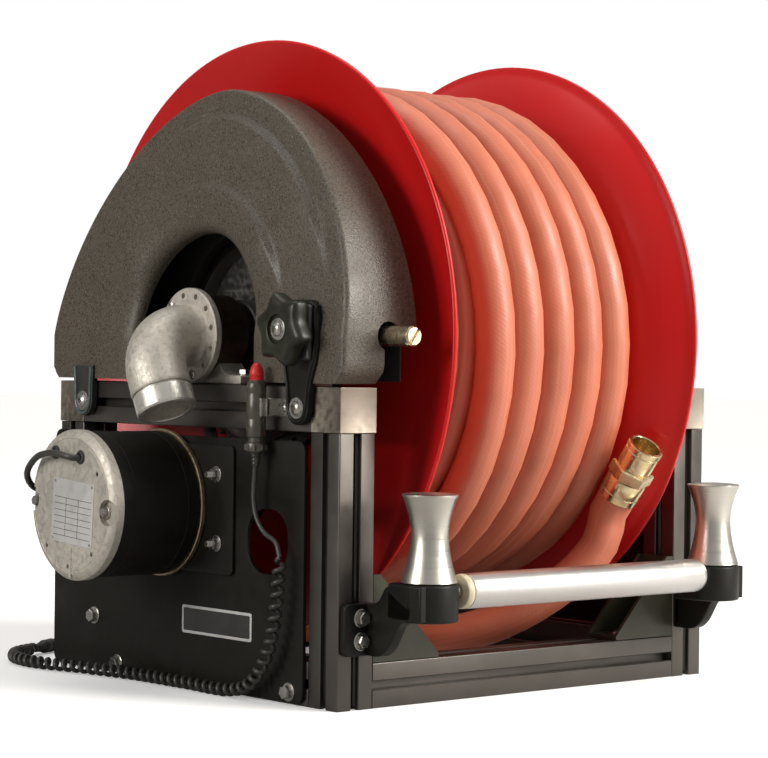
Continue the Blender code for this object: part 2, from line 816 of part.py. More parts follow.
def make_chain():
    """The chain as one band outside both wheels' teeth, with straight runs between them."""
    big = pitch_radius(DRUM_TEETH) + 1 * MM
    small = pitch_radius(PINION_TEETH) + 1 * MM
    top, bottom = Vector((0, AXIS_Z)), Vector((MOTOR_Y, MOTOR_Z))

    def loop(extra):
        down = bottom - top
        heading = math.degrees(math.atan2(down.y, down.x))
        spread = math.degrees(math.acos((big - small) / down.length))
        around_top = arc(top, big + extra, heading + spread, heading + 360 - spread, 41)
        around_bottom = arc(bottom, small + extra, heading - spread, heading + spread, 11)
        return around_top + around_bottom

    outline_solid(
        "drive_chain", [loop(7 * MM), loop(0)], 9 * MM, "steel", (CHAIN_X, 0, 0), FACING_X
    )


def make_crank():
    """The hand crank's shaft with its bevel wheel, and the bearing plate that carries it."""
    wheel_y = -CROWN_RADIUS
    half = 6 * MM
    shaft = cylinder("crank_shaft", (CRANK_X, CRANK_END, AXIS_Z), (CRANK_X, wheel_y + half, AXIS_Z), 9 * MM, "brass", 28)
    wheel = cylinder(
        "crank_wheel",
        (CRANK_X, wheel_y - half, AXIS_Z),
        (CRANK_X, wheel_y + half, AXIS_Z),
        CRANK_WHEEL,
        None,
        32,
    )
    slot = box(
        "crank_slot",
        (CRANK_X - 12 * MM, CRANK_END - 5 * MM, AXIS_Z - 1.4 * MM),
        (CRANK_X + 12 * MM, CRANK_END + 5 * MM, AXIS_Z + 1.4 * MM),
        None,
    )
    slot.rotation_euler = (0, math.radians(38), 0)
    join(shaft, wheel)
    cut(shaft, slot)
    foot = FRAME_TOP + GAP
    plate = [
        (-FRAME_X + 8 * MM, foot),
        (CRANK_X + 4 * MM, foot),
        (CRANK_X + 18 * MM, AXIS_Z - 8 * MM),
        *arc((CRANK_X, AXIS_Z), 18 * MM, -20, 200, 13),
        (-FRAME_X + 8 * MM, foot + 14 * MM),
    ]
    bore = circle((CRANK_X, AXIS_Z), 9.4 * MM, 28)
    outline_solid("crank_bearing", [plate, bore], 10 * MM, "cast_aluminium", (0, -140 * MM, 0), FACING_Y)


# --- Controls ------------------------------------------------------------------------------------------------------


def make_brake(cover):
    """A lobed knob whose screw runs through the cover, and the pad it presses on the crank's shaft."""
    strap_face = COVER_FACE - 3.3 * MM - GAP
    housing_front = strap_face - 6.1 * MM
    housing = box(
        "brake_housing",
        (housing_front, BRAKE_Y - 23 * MM, BRAKE_Z - 27 * MM),
        (strap_face, BRAKE_Y + 12 * MM, BRAKE_Z + 22 * MM),
        "black_plastic",
        2.5 * MM,
    )
    lobes, count = 6, 36
    outline = []
    for i in range(count):
        angle = math.tau * i / count
        radius = (29.5 + 3.8 * math.cos(lobes * angle)) * MM
        outline.append((radius * math.cos(angle), radius * math.sin(angle)))
    knob_back = housing_front - GAP

    def rod(name, start, end, radius, paint=None, sides=20):
        return cylinder(name, (start, BRAKE_Y, BRAKE_Z), (end, BRAKE_Y, BRAKE_Z), radius, paint, sides)

    knob = as_mesh(
        outline_solid(
            "brake_knob", [outline], 17 * MM, "black_plastic", (knob_back - 8.5 * MM, BRAKE_Y, BRAKE_Z), FACING_X
        )
    )
    soften(knob, 1.6 * MM, 1)
    shaft_side = CRANK_X - 9 * MM
    pad_back = shaft_side - 6.5 * MM
    screw_end = pad_back - 2.5 * MM
    join(knob, rod("knob_stud", knob_back - 20 * MM, knob_back - 10 * MM, 7 * MM))
    join(knob, rod("knob_screw", knob_back - 5 * MM, screw_end, 5 * MM))
    cut(knob, rod("screw_socket", screw_end - 9 * MM, screw_end + 5 * MM, 3 * MM))
    hole = rod("screw_hole", housing_front - 10 * MM, COVER_FACE + 10 * MM, 5.6 * MM)
    cut(housing, hole)
    cut(cover, hole)
    pad = rod("brake_pad", pad_back, shaft_side - 0.5 * MM, 8 * MM, "cord_rubber")
    join(pad, rod("pad_stem", screw_end - 5 * MM, pad_back + 2 * MM, 2.6 * MM))


def make_switch():
    """The hand switch in its clip on the top rail: a tube with a gland below and a red button boot on top."""
    bottom, top = 222 * MM, 286 * MM
    r = 8.8 * MM
    profile = [
        (0, top),
        (r - 2.8 * MM, top),
        (r, top - 4 * MM),
        (r, bottom + 14 * MM),
        (r - 2 * MM, bottom + 13 * MM),
        (r - 2 * MM, bottom + 9 * MM),
        (r + 1.5 * MM, bottom + 8 * MM),
        (r + 1.5 * MM, bottom),
        (0, bottom),
    ]
    turned("switch_body", profile, "black_plastic", (SWITCH_X, SWITCH_Y, 0), UPRIGHT, 28)
    boot = [(0, 11 * MM), (3.2 * MM, 10 * MM), (5 * MM, 6.5 * MM), (6.5 * MM, 0), (0, 0)]
    turned("switch_button", boot, "button_red", (SWITCH_X, SWITCH_Y, top + 4.3 * MM), UPRIGHT, 24)
    half, wall = 8 * MM, 1.6 * MM
    outer = r + GAP + wall
    grip = circle((SWITCH_X, SWITCH_Y), outer, 28)
    hole = circle((SWITCH_X, SWITCH_Y), r + GAP, 28)
    clip = as_mesh(outline_solid("switch_clip", [grip, hole], 2 * half, "cast_aluminium", (0, 0, 262 * MM), UPRIGHT))
    face = -FRAME_X - GAP
    strap = box(
        "clip_strap",
        (face - wall, SWITCH_Y - 28 * MM, 262 * MM - half),
        (face, SWITCH_Y + 28 * MM, 262 * MM + half),
        None,
    )
    bridge = box(
        "clip_bridge",
        (SWITCH_X + r + 1.2 * MM, SWITCH_Y - 6 * MM, 262 * MM - half + 1 * MM),
        (face - wall / 2, SWITCH_Y + 6 * MM, 262 * MM + half - 1 * MM),
        None,
    )
    join(clip, strap, bridge)
    cut(
        clip,
        box(
            "clip_mouth",
            (SWITCH_X - 20 * MM, SWITCH_Y - 20 * MM, 262 * MM - half - 5 * MM),
            (SWITCH_X - 3 * MM, SWITCH_Y + 20 * MM, 262 * MM + half + 5 * MM),
            None,
        ),
    )


def coil_knots():
    """The curly part of the switch's cord: down the side plate, round a bend, and back and out along the floor."""
    x, floor = -250 * MM, 7 * MM
    return [
        (x + 1 * MM, -159 * MM, 131 * MM),
        (x, -156 * MM, 90 * MM),
        (x, -146 * MM, 50 * MM),
        (x, -122 * MM, 18 * MM),
        (x + 1 * MM, -85 * MM, floor),
        (x, -20 * MM, floor),
        (x - 3 * MM, 55 * MM, floor),
        (x - 14 * MM, 120 * MM, floor),
        (x - 29 * MM, 180 * MM, floor),
        (x - 26 * MM, 226 * MM, floor),
        (x - 3 * MM, 262 * MM, floor),
        (x + 34 * MM, 283 * MM, floor),
    ]


def make_cords():
    lead = [
        (SWITCH_X, SWITCH_Y, 221.5 * MM),
        (SWITCH_X, SWITCH_Y + 1 * MM, 205 * MM),
        (SWITCH_X, SWITCH_Y + 2.5 * MM, 182 * MM),
        (SWITCH_X, SWITCH_Y - 2 * MM, 164 * MM),
        (SWITCH_X, SWITCH_Y - 14 * MM, 151 * MM),
        (SWITCH_X, SWITCH_Y - 30 * MM, 144 * MM),
        (SWITCH_X, SWITCH_Y - 40 * MM, 134 * MM),
    ]
    tube("switch_lead", smooth_route(lead, 8 * MM), 2.1 * MM, "cord_rubber")
    route = smooth_route(coil_knots(), 16 * MM)
    tube("switch_coil", route, 6.5 * MM, "cord_rubber")
    end = Vector(route[-1])
    towards = (end - route[-2]).normalized()
    cylinder("switch_plug", end + towards * GAP, end + towards * 34 * MM, 6.8 * MM, "black_plastic", 20)
    leads = [
        (MOTOR_FACE - 1.2 * MM, 18 * MM, 213 * MM),
        (MOTOR_FACE - 8 * MM, 20 * MM, 213.5 * MM),
        (MOTOR_FACE - 12 * MM, 45 * MM, 217 * MM),
        (MOTOR_FACE - 10 * MM, 75 * MM, 212 * MM),
        (MOTOR_FACE - 2 * MM, 104 * MM, 196 * MM),
        (MOTOR_FACE + 20 * MM, 126 * MM, 181 * MM),
        (MOTOR_FACE + 55 * MM, 146 * MM, 176 * MM),
        (-FRAME_X - PLATE_THICKNESS - 15 * MM, 150 * MM, 178 * MM),
    ]
    tube("motor_lead", smooth_route(leads, 12 * MM), 3 * MM, "cord_rubber")


# --- Front rollers -------------------------------------------------------------------------------------------------


def spool_profile():
    """A waisted roller, flared at both ends, with a pin's bore up from its foot."""
    ends, waist = 24.5 * MM, 16.2 * MM
    steps = 8
    outside = []
    for i in range(steps + 1):
        t = i / steps
        swell = abs(2 * t - 1) ** 2.2
        outside.append((waist + (ends - waist) * swell, SPOOL_HEIGHT * (1 - t)))
    bore = 5.4 * MM
    return [(0, SPOOL_HEIGHT + 1.5 * MM), *outside, (bore, 0), (bore, SPOOL_HEIGHT * 0.8), (0, SPOOL_HEIGHT * 0.8)]


def make_rollers():
    bore = 6.4 * MM
    half = ROLLER_HALF
    turned(
        "guide_roller",
        [
            (ROLLER_RADIUS - 1 * MM, half),
            (ROLLER_RADIUS, half - 1 * MM),
            (ROLLER_RADIUS, 1 * MM - half),
            (ROLLER_RADIUS - 1 * MM, -half),
            (bore, -half),
            (bore, half),
        ],
        "polished",
        (0, ROLLER_Y, ROLLER_Z),
        steps=32,
        ring=True,
    )
    pin_reach = ROLLER_HALF + 8 * MM
    cylinder("guide_pin", (-pin_reach, ROLLER_Y, ROLLER_Z), (pin_reach, ROLLER_Y, ROLLER_Z), 6 * MM, "steel", 20)
    for side, x in (("left", -SPOOL_X), ("right", SPOOL_X)):
        turned(f"spool_{side}", spool_profile(), "polished", (x, SPOOL_Y, SPOOL_FOOT + GAP), UPRIGHT, 28)
        make_arm(side, x)


def make_arm(side, x):
    """A cast arm from the post's front face to the block that holds the rollers' ends."""
    out = math.copysign(1, x)
    block_inner = ROLLER_HALF + 2 * MM
    block_outer = SPOOL_X + 25 * MM
    low, high = sorted((out * block_inner, out * block_outer))
    front, rear = SPOOL_Y - 25.5 * MM, SPOOL_Y + 25.5 * MM
    block_foot = SPOOL_FOOT - 33 * MM
    arm = box(f"roller_arm_{side}", (low, front, block_foot), (high, rear, SPOOL_FOOT), "black_steel")
    foot_plane = -FRAME_Y - GAP
    curve = [
        (foot_plane, 52 * MM),
        (foot_plane, 93 * MM),
        (foot_plane - 8 * MM, 96 * MM),
        (rear - 10 * MM, SPOOL_FOOT - 1 * MM),
        (front + 6 * MM, SPOOL_FOOT - 1 * MM),
        (front + 6 * MM, block_foot - 1 * MM),
        *arc((foot_plane - 58 * MM, 52 * MM), 30 * MM, 80, 0, 7),
    ]
    wing_low, wing_high = sorted((out * (FRAME_X - PROFILE + 2 * MM), out * (FRAME_X - 26 * MM)))
    width = wing_high - wing_low
    place = ((wing_low + wing_high) / 2, 0, 0)
    web = as_mesh(outline_solid(f"arm_web_{side}", [curve[::-1]], width, None, place, FACING_X))
    foot_low, foot_high = sorted((out * (FRAME_X - 2 * MM), out * (FRAME_X - PROFILE + 2 * MM)))
    foot = box(f"arm_foot_{side}", (foot_low, foot_plane - 7 * MM, 48 * MM), (foot_high, foot_plane, 94 * MM), None)
    pin = cylinder(
        f"arm_pin_{side}",
        (x, SPOOL_Y, SPOOL_FOOT - 10 * MM),
        (x, SPOOL_Y, SPOOL_FOOT + SPOOL_HEIGHT * 0.7),
        5 * MM,
        None,
        16,
    )
    join(arm, web, foot, pin)
    socket = cylinder(
        f"arm_socket_{side}",
        (out * (block_inner - 5 * MM), ROLLER_Y, ROLLER_Z),
        (out * (ROLLER_HALF + 10 * MM), ROLLER_Y, ROLLER_Z),
        6.3 * MM,
        None,
        20,
    )
    cut(arm, socket)


clear_scene()
REEL = collection("fire_hose_reel")
CUTTERS = collection("cutters")
FRAME = bpy.data.objects.new("reel_frame", None)
REEL.objects.link(FRAME)
FRAME.location = (-CENTRE_X, -CENTRE_Y, 0)

make_frame()
make_side_plates()
make_pillow_block("left", -BEARING_X)
make_pillow_block("right", BEARING_X)
cover = make_cover()
make_drum()
make_hose()
make_inlet()
make_motor()
make_chain()
make_crank()
make_brake(cover)
make_switch()
make_cords()
make_rollers()
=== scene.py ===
"""Looks of the fire hose reel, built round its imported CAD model.

Places are in millimetres: across the reel from the drum's axis, and upwards from the floor. at(x, y, z) turns
them into the model's own frame. -X is the drive side and -Y the side where the hose pays out."""

import json
import math

import bmesh
import bpy
from mathutils import Matrix, Vector


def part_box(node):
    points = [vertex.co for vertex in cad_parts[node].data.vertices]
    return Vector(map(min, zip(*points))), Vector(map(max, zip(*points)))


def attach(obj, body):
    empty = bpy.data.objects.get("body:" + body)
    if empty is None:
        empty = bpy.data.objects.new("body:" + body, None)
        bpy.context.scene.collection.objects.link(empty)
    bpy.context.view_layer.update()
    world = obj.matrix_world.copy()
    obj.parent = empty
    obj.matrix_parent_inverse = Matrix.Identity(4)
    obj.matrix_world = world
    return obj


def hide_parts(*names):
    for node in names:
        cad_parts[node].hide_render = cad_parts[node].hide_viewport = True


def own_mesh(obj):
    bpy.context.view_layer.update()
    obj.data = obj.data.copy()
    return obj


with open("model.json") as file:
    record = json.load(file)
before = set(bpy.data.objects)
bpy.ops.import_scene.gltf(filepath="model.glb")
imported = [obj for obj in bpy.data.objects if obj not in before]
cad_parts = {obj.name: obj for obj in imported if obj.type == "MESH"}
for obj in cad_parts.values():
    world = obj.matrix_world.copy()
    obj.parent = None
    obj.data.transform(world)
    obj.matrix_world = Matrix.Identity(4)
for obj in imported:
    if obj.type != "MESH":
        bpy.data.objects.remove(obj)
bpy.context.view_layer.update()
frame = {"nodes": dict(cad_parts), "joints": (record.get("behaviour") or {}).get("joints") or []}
JOINTS = {j["name"]: j for j in frame["joints"]}
AXIS = Vector(JOINTS["drum_spin"]["pos_m"])
AXIS_Z = AXIS.z * 1000
MM = 0.001
RAIL_Z, TOP_RAIL_Z = 20, 261  # middles of the base and top rails
FRAME_X, FRAME_Y = 211, 198  # middles of the corner posts
PLATE_FACE = 235.3  # outer faces of the side plates
MOUNT_FACE = -238.6
STRAP_FACE, STRAP_BACK = -239.2, -232.4
STRAP_Y, STRAP_BOLT_Z = 168, 262
MOTOR = (33, 169.5)
MOTOR_FACE = -341
LEAD_HOLE = (150, 178)  # where the motor's lead goes through the side plate
CRANK_X = -185
KNOB = (-168, 331)
INLET_X = -228.2
CHAIN_X, CHAIN_PITCH = -146, 12.7
WHEEL_FACES = (CHAIN_X - 3, CHAIN_X + 3)  # of the two chain wheels
BORE = 22.6  # radius of the hole through the hubs
GUIDE = (-286, 106)
SPOOL = (180, -279)
X = Vector((1, 0, 0))
Y = Vector((0, 1, 0))
Z = Vector((0, 0, 1))


def at(x, y, z):
    return Vector((AXIS.x + x * MM, AXIS.y + y * MM, z * MM))


# --- Materials -------------------------------------------------------------------------------------


class Shader:
    """One procedural material: a Principled shader and short ways to feed its sockets."""

    def __init__(self, name, color, roughness, metallic=0.0, coat=0.0, coat_roughness=0.1, specular=0.5):
        self.material = bpy.data.materials.new(name)
        self.material.use_nodes = True
        self.nodes = self.material.node_tree.nodes
        self.links = self.material.node_tree.links
        self.shader = self.nodes["Principled BSDF"]
        self.color = color
        self.put("Base Color", (*color, 1))
        self.put("Roughness", roughness)
        self.put("Metallic", metallic)
        self.put("Coat Weight", coat)
        self.put("Coat Roughness", coat_roughness)
        self.put("Specular IOR Level", specular)
        self.coordinates = self.nodes.new("ShaderNodeTexCoord")
        self.normal = None

    def put(self, socket, value):
        self.shader.inputs[socket].default_value = value

    def link(self, source, target):
        self.links.new(source, target)

    def space(self, stretch=(1, 1, 1), source="Object"):
        mapping = self.nodes.new("ShaderNodeMapping")
        mapping.inputs["Scale"].default_value = stretch
        self.link(self.coordinates.outputs[source], mapping.inputs["Vector"])
        return mapping.outputs["Vector"]

    def noise(self, scale, detail, stretch=(1, 1, 1), source="Object"):
        noise = self.nodes.new("ShaderNodeTexNoise")
        noise.inputs["Scale"].default_value = scale
        noise.inputs["Detail"].default_value = detail
        self.link(self.space(stretch, source), noise.inputs["Vector"])
        return noise.outputs["Fac"]

    def cells(self, scale, feature="F1"):
        cells = self.nodes.new("ShaderNodeTexVoronoi")
        cells.feature = feature
        cells.inputs["Scale"].default_value = scale
        self.link(self.space(), cells.inputs["Vector"])
        return cells.outputs["Distance"]

    def ranged(self, value, low, high, start=0.3, end=0.7):
        """The value spread from low to high. The value may also be a noise, as (scale, detail, ...)."""
        spread = self.nodes.new("ShaderNodeMapRange")
        spread.inputs["From Min"].default_value = start
        spread.inputs["From Max"].default_value = end
        spread.inputs["To Min"].default_value = low
        spread.inputs["To Max"].default_value = high
        self.link(self.source(value), spread.inputs["Value"])
        return spread.outputs["Result"]

    def source(self, value):
        return self.noise(*value) if isinstance(value, tuple) else value

    def tint(self, value, other, start=0.3, end=0.7):
        """Mixes the base colour (or what is linked there) with another one, where value is high."""
        mix = self.nodes.new("ShaderNodeMix")
        mix.data_type = "RGBA"
        self.link(self.ranged(value, 0, 1, start, end), mix.inputs["Factor"])
        socket = self.shader.inputs["Base Color"]
        if socket.is_linked:
            self.link(socket.links[0].from_socket, mix.inputs["A"])
        else:
            mix.inputs["A"].default_value = (*self.color, 1)
        mix.inputs["B"].default_value = (*other, 1)
        self.link(mix.outputs["Result"], socket)
        return self

    def vary_roughness(self, value, low, high, start=0.3, end=0.7):
        self.link(self.ranged(value, low, high, start, end), self.shader.inputs["Roughness"])
        return self

    def bump(self, value, depth, strength=1.0):
        """Raises the surface by about depth metres where value is high. Bumps stack."""
        bump = self.nodes.new("ShaderNodeBump")
        bump.inputs["Strength"].default_value = strength
        bump.inputs["Distance"].default_value = depth
        self.link(self.source(value), bump.inputs["Height"])
        if self.normal:
            self.link(self.normal, bump.inputs["Normal"])
        self.normal = bump.outputs["Normal"]
        self.link(self.normal, self.shader.inputs["Normal"])
        return self


def lighter(color, by):
    return tuple(min(1.0, c * by) for c in color)


def painted(name, color, roughness, coat, peel, specular):
    made = Shader(name, color, roughness, coat=coat, coat_roughness=0.08, specular=specular)
    made.tint((9, 4), lighter(color, 0.82)).tint((60, 2), lighter(color, 1.12), 0.45, 0.75)
    return made.vary_roughness((30, 5), roughness * 0.8, roughness * 1.35).bump((420, 2), peel)


def bare_metal(name, color, roughness, grain, depth, metallic=1.0):
    made = Shader(name, color, roughness, metallic).tint((14, 4), lighter(color, 0.78))
    return made.vary_roughness((grain / 3, 3), roughness * 0.75, roughness * 1.35).bump((grain, 3), depth)


def turned_metal(name, color, roughness, stretch):
    """Bare metal with the fine rings that a lathe leaves: the stretch is across them."""
    made = Shader(name, color, roughness, 1.0).tint((12, 3), lighter(color, 0.86))
    made.tint((30, 2, stretch), lighter(color, 0.94), 0.45, 0.7)
    made.vary_roughness((30, 3, stretch), roughness * 0.85, roughness * 1.25)
    return made.bump((30, 2, stretch), 0.0000015)


def paints():
    red = Shader("red_gloss", (0.62, 0.010, 0.010), 0.36, coat=0.05, coat_roughness=0.12, specular=0.3)
    red.tint((5, 3), (0.56, 0.009, 0.009)).vary_roughness((20, 3), 0.28, 0.38).bump((180, 2), 0.00002)
    black = painted("black_powder_coat", (0.008, 0.007, 0.005), 0.45, 0.0, 0.00007, 0.2)
    black.tint((700, 2), (0.018, 0.017, 0.014), 0.62, 0.8)
    arm = painted("black_casting", (0.006, 0.006, 0.004), 0.40, 0.0, 0.00012, 0.25).bump((120, 3), 0.0002)
    bracket = painted("olive_bracket", (0.040, 0.038, 0.022), 0.42, 0.08, 0.00006, 0.35)
    return {"red": red, "black": black, "arm": arm, "bracket": bracket}


def metals():
    anodised = Shader("anodised_profile", (0.120, 0.109, 0.098), 0.36, metallic=0.85)
    anodised.tint((14, 3), (0.100, 0.090, 0.080), 0.4, 0.75)
    anodised.vary_roughness((60, 3), 0.32, 0.42).bump((200, 2), 0.000004)
    cast = bare_metal("cast_aluminium", (0.60, 0.56, 0.49), 0.52, 650, 0.0002, 0.72)
    cast.tint((230, 4), (0.36, 0.33, 0.29), 0.5, 0.8).bump(cast.cells(900), 0.00012)
    steel = bare_metal("zinc_plated", (0.58, 0.56, 0.52), 0.30, 800, 0.00004)
    steel.tint((120, 4), (0.40, 0.38, 0.34), 0.45, 0.75)
    brass = bare_metal("brass", (0.86, 0.70, 0.42), 0.22, 600, 0.00002)
    brass.tint((60, 3), (0.76, 0.55, 0.24), 0.45, 0.8)
    return {
        "anodised": anodised,
        "cast": cast,
        "steel": steel,
        "brass": brass,
        "cap": bare_metal("satin_casting", (0.31, 0.27, 0.222), 0.40, 500, 0.00006),
        "gold": bare_metal("passivated_ring", (0.55, 0.42, 0.28), 0.38, 700, 0.00005),
        "machined": bare_metal("machined_aluminium", (0.66, 0.63, 0.58), 0.36, 800, 0.00002, 0.75),
        "roller": turned_metal("turned_roller", (0.66, 0.645, 0.615), 0.34, (40, 1, 1)),
        "spool": turned_metal("turned_spool", (0.60, 0.575, 0.51), 0.32, (1, 1, 40)),
        "dark_steel": bare_metal("oiled_steel", (0.20, 0.19, 0.18), 0.38, 500, 0.00006),
        "pale_brass": bare_metal("pale_brass", (0.72, 0.63, 0.46), 0.26, 600, 0.00002),
        "bronze": bare_metal("dark_bronze", (0.12, 0.09, 0.06), 0.40, 500, 0.0001),
    }


def mouldings():
    """The pebbled cover and the lighter, glossier moulding that paints a highlight along its edges, the
    hose's jacket, and the small plastic and rubber parts.
    """
    cover = Shader("pebbled_moulding", (0.080, 0.066, 0.047), 0.42, specular=0.45)
    cover.tint((7, 4), (0.082, 0.069, 0.053)).tint((520, 3), (0.030, 0.025, 0.016), 0.5, 0.64)
    cover.tint((640, 3), (0.17, 0.148, 0.122), 0.58, 0.74).vary_roughness((25, 4), 0.36, 0.52)
    cover.bump(cover.cells(620, "SMOOTH_F1"), 0.0003, 0.7).bump((900, 2), 0.00015)
    # Painted highlight: a lighter teal-grey, glossier moulding for the cover's creases and the rear strap's
    # rim, standing in for the light those edges catch.
    edge = Shader("painted_highlight_moulding_edge", (0.060, 0.088, 0.084), 0.30, specular=0.7)
    edge.tint((60, 4), (0.045, 0.066, 0.063)).bump((300, 2), 0.00002)
    hose = Shader("hose_jacket", (0.56, 0.150, 0.076), 0.36, specular=0.7)
    hose.tint((16, 4), (0.46, 0.125, 0.062))
    hose.tint((3, 5, (9, 0.6, 1), "UV"), (0.60, 0.215, 0.135), 0.5, 0.8).vary_roughness((35, 4), 0.40, 0.58)
    wrap = hose.nodes.new("ShaderNodeTexWave")
    wrap.wave_type = "BANDS"
    wrap.bands_direction = "DIAGONAL"
    wrap.inputs["Scale"].default_value = 1.0
    wrap.inputs["Distortion"].default_value = 0.6
    hose.link(hose.space((12, 150, 1), "UV"), wrap.inputs["Vector"])
    hose.bump(wrap.outputs["Fac"], 0.00008, 0.6).bump((500, 3), 0.00006)
    plastic = Shader("black_plastic", (0.018, 0.017, 0.015), 0.40).tint((40, 3), (0.028, 0.026, 0.024))
    plastic.vary_roughness((60, 4), 0.32, 0.5).bump((1500, 2), 0.00005)
    knob = Shader("knob_plastic", (0.010, 0.011, 0.006), 0.38, specular=0.35)
    knob.vary_roughness((80, 4), 0.28, 0.48).bump((900, 3), 0.00010).tint((50, 4), (0.018, 0.018, 0.010))
    cord = Shader("cord_rubber", (0.022, 0.020, 0.017), 0.42)
    cord.tint((90, 3), (0.042, 0.038, 0.032)).bump((900, 2), 0.00005)
    boot = Shader("red_boot", (0.62, 0.02, 0.015), 0.42)
    boot.tint((150, 3), (0.48, 0.012, 0.01)).bump((1200, 2), 0.00004)
    switch = Shader("satin_tube", (0.045, 0.040, 0.028), 0.28, specular=0.7)
    switch.tint((40, 3), (0.060, 0.053, 0.038)).vary_roughness((60, 4), 0.22, 0.36).bump((1500, 2), 0.00003)
    plate = Shader("printed_plate", (0.62, 0.61, 0.60), 0.35, metallic=0.4)
    plate.tint((80, 4), (0.50, 0.49, 0.48), 0.45, 0.8).bump((300, 2), 0.00002)
    bushing = Shader("ivory_bushing", (0.62, 0.55, 0.38), 0.4)
    bushing.tint((200, 3), (0.5, 0.43, 0.28)).bump((700, 2), 0.00003)
    made = {"cover": cover, "cover_highlight_edge": edge, "hose": hose, "plastic": plastic, "knob": knob, "cord": cord}
    return made | {"boot": boot, "tube": switch, "plate": plate, "bushing": bushing}


MATERIAL = {key: made.material for key, made in (paints() | metals() | mouldings()).items()}


# --- Meshes ----------------------------------------------------------------------------------------


SLOTS = {
    "anodised": ("anodised", "plate"),
    "cast_aluminium": ("cast", "cap", "gold"),
    "polished": ("machined", "roller", "spool", "bushing"),
    "black_steel": ("black", "arm"),
    "moulded_plastic": ("cover", "cover_highlight_edge"),
    "black_plastic": ("plastic", "knob", "tube"),
    "red_paint": ("red",),
    "hose_rubber": ("hose",),
    "brass": ("brass", "pale_brass"),
    "bronze": ("bronze",),
    "steel": ("dark_steel", "steel"),
    "button_red": ("boot",),
    "cord_rubber": ("cord",),
}


def piece(name, shape, material, body, replaces=(), slot="", smooth=32):
    """An object of the reel from a bmesh or a mesh, riding on a body. It may stand for CAD nodes.

    Its slot argument is not used."""
    if isinstance(shape, bmesh.types.BMesh):
        mesh = bpy.data.meshes.new(name)
        bmesh.ops.recalc_face_normals(shape, faces=shape.faces)
        shape.to_mesh(mesh)
        shape.free()
    else:
        mesh = shape
    mesh.shade_smooth()
    if smooth:
        mesh.set_sharp_from_angle(angle=math.radians(smooth))
    obj = bpy.data.objects.new(name, mesh)
    bpy.context.scene.collection.objects.link(obj)
    mesh.materials.clear()
    mesh.materials.append(MATERIAL[material])
    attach(obj, body)
    if replaces:
        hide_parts(*replaces)
    return obj


def soften(obj, width_mm, segments=3, angle=35):
    rounding = obj.modifiers.new("rounding", "BEVEL")
    rounding.width = width_mm * MM
    rounding.segments = segments
    rounding.limit_method = "ANGLE"
    rounding.angle_limit = math.radians(angle)
    rounding.harden_normals = True
    return obj


def turn_to(direction):
    return Vector((0, 0, 1)).rotation_difference(Vector(direction)).to_matrix().to_4x4()


def lathe(shape, profile, centre, direction, segments=64, ring=False):
    """Adds a turned surface to a bmesh. The profile is (radius, height) in mm, height along direction."""
    place = Matrix.Translation(centre) @ turn_to(direction)
    rows = []
    for radius, height in profile:
        if radius < 1e-6:
            rows.append([shape.verts.new(place @ Vector((0, 0, height * MM)))])
            continue
        row = []
        for k in range(segments):
            angle = math.tau * k / segments
            point = Vector((radius * math.cos(angle), radius * math.sin(angle), height)) * MM
            row.append(shape.verts.new(place @ point))
        rows.append(row)
    pairs = list(zip(rows, rows[1:]))
    if ring:
        pairs.append((rows[-1], rows[0]))
    for near, far in pairs:
        for k in range(segments):
            k2 = (k + 1) % segments
            if len(near) == 1 and len(far) == 1:
                continue
            if len(near) == 1:
                shape.faces.new((near[0], far[k2], far[k]))
            elif len(far) == 1:
                shape.faces.new((near[k], near[k2], far[0]))
            else:
                shape.faces.new((near[k], near[k2], far[k2], far[k]))
    return shape


def circle_row(shape, centre, along, across, radius, count, turn=0.0):
    """Adds points on a circle to a bmesh, in metres: from along towards across."""
    row = []
    for k in range(count):
        a = math.tau * k / count + turn
        row.append(shape.verts.new(centre + (along * math.cos(a) + across * math.sin(a)) * radius))
    return row


def skin(shape, rows):
    """Joins closed rows of points with faces, and closes the first and the last row."""
    for near, far in zip(rows, rows[1:]):
        for k in range(len(near)):
            after = (k + 1) % len(near)
            shape.faces.new((near[k], near[after], far[after], far[k]))
    shape.faces.new(rows[0])
    shape.faces.new(rows[-1])


def hexagon(shape, centre, direction, profile, turn):
    """Adds a hexagonal body to a bmesh, from (radius, height) in mm."""
    place = turn_to(direction) @ Matrix.Rotation(turn, 4, "Z")
    axes = [(place @ axis).to_3d() for axis in (X, Y, Z)]
    rows = []
    for r, height in profile:
        rows.append(circle_row(shape, centre + axes[2] * height * MM, axes[0], axes[1], r * MM, 6))
    skin(shape, rows)


def turned(name, profile, centre, direction, material, body, segments=64, ring=False, **rest):
    shape = lathe(bmesh.new(), profile, centre, direction, segments, ring)
    return piece(name, shape, material, body, **rest)


def arc(centre, radius, first, last, count):
    steps = [math.radians(first + (last - first) * i / (count - 1)) for i in range(count)]
    return [(centre[0] + radius * math.cos(a), centre[1] + radius * math.sin(a)) for a in steps]


def circle(centre, radius, count=32):
    return arc(centre, radius, 0, 360, count + 1)[:-1]


def rounded(low, high, radius, count=7):
    corners = (
        ((high[0] - radius, low[1] + radius), -90),
        ((high[0] - radius, high[1] - radius), 0),
        ((low[0] + radius, high[1] - radius), 90),
        ((low[0] + radius, low[1] + radius), 180),
    )
    return [p for centre, first in corners for p in arc(centre, radius, first, first + 90, count)]


FACING = {
    "X": Matrix(((0, 0, 1), (1, 0, 0), (0, 1, 0))),  # outline in YZ
    "Y": Matrix(((1, 0, 0), (0, 0, -1), (0, 1, 0))),  # outline in XZ
    "Z": Matrix.Identity(3),  # outline in XY
}


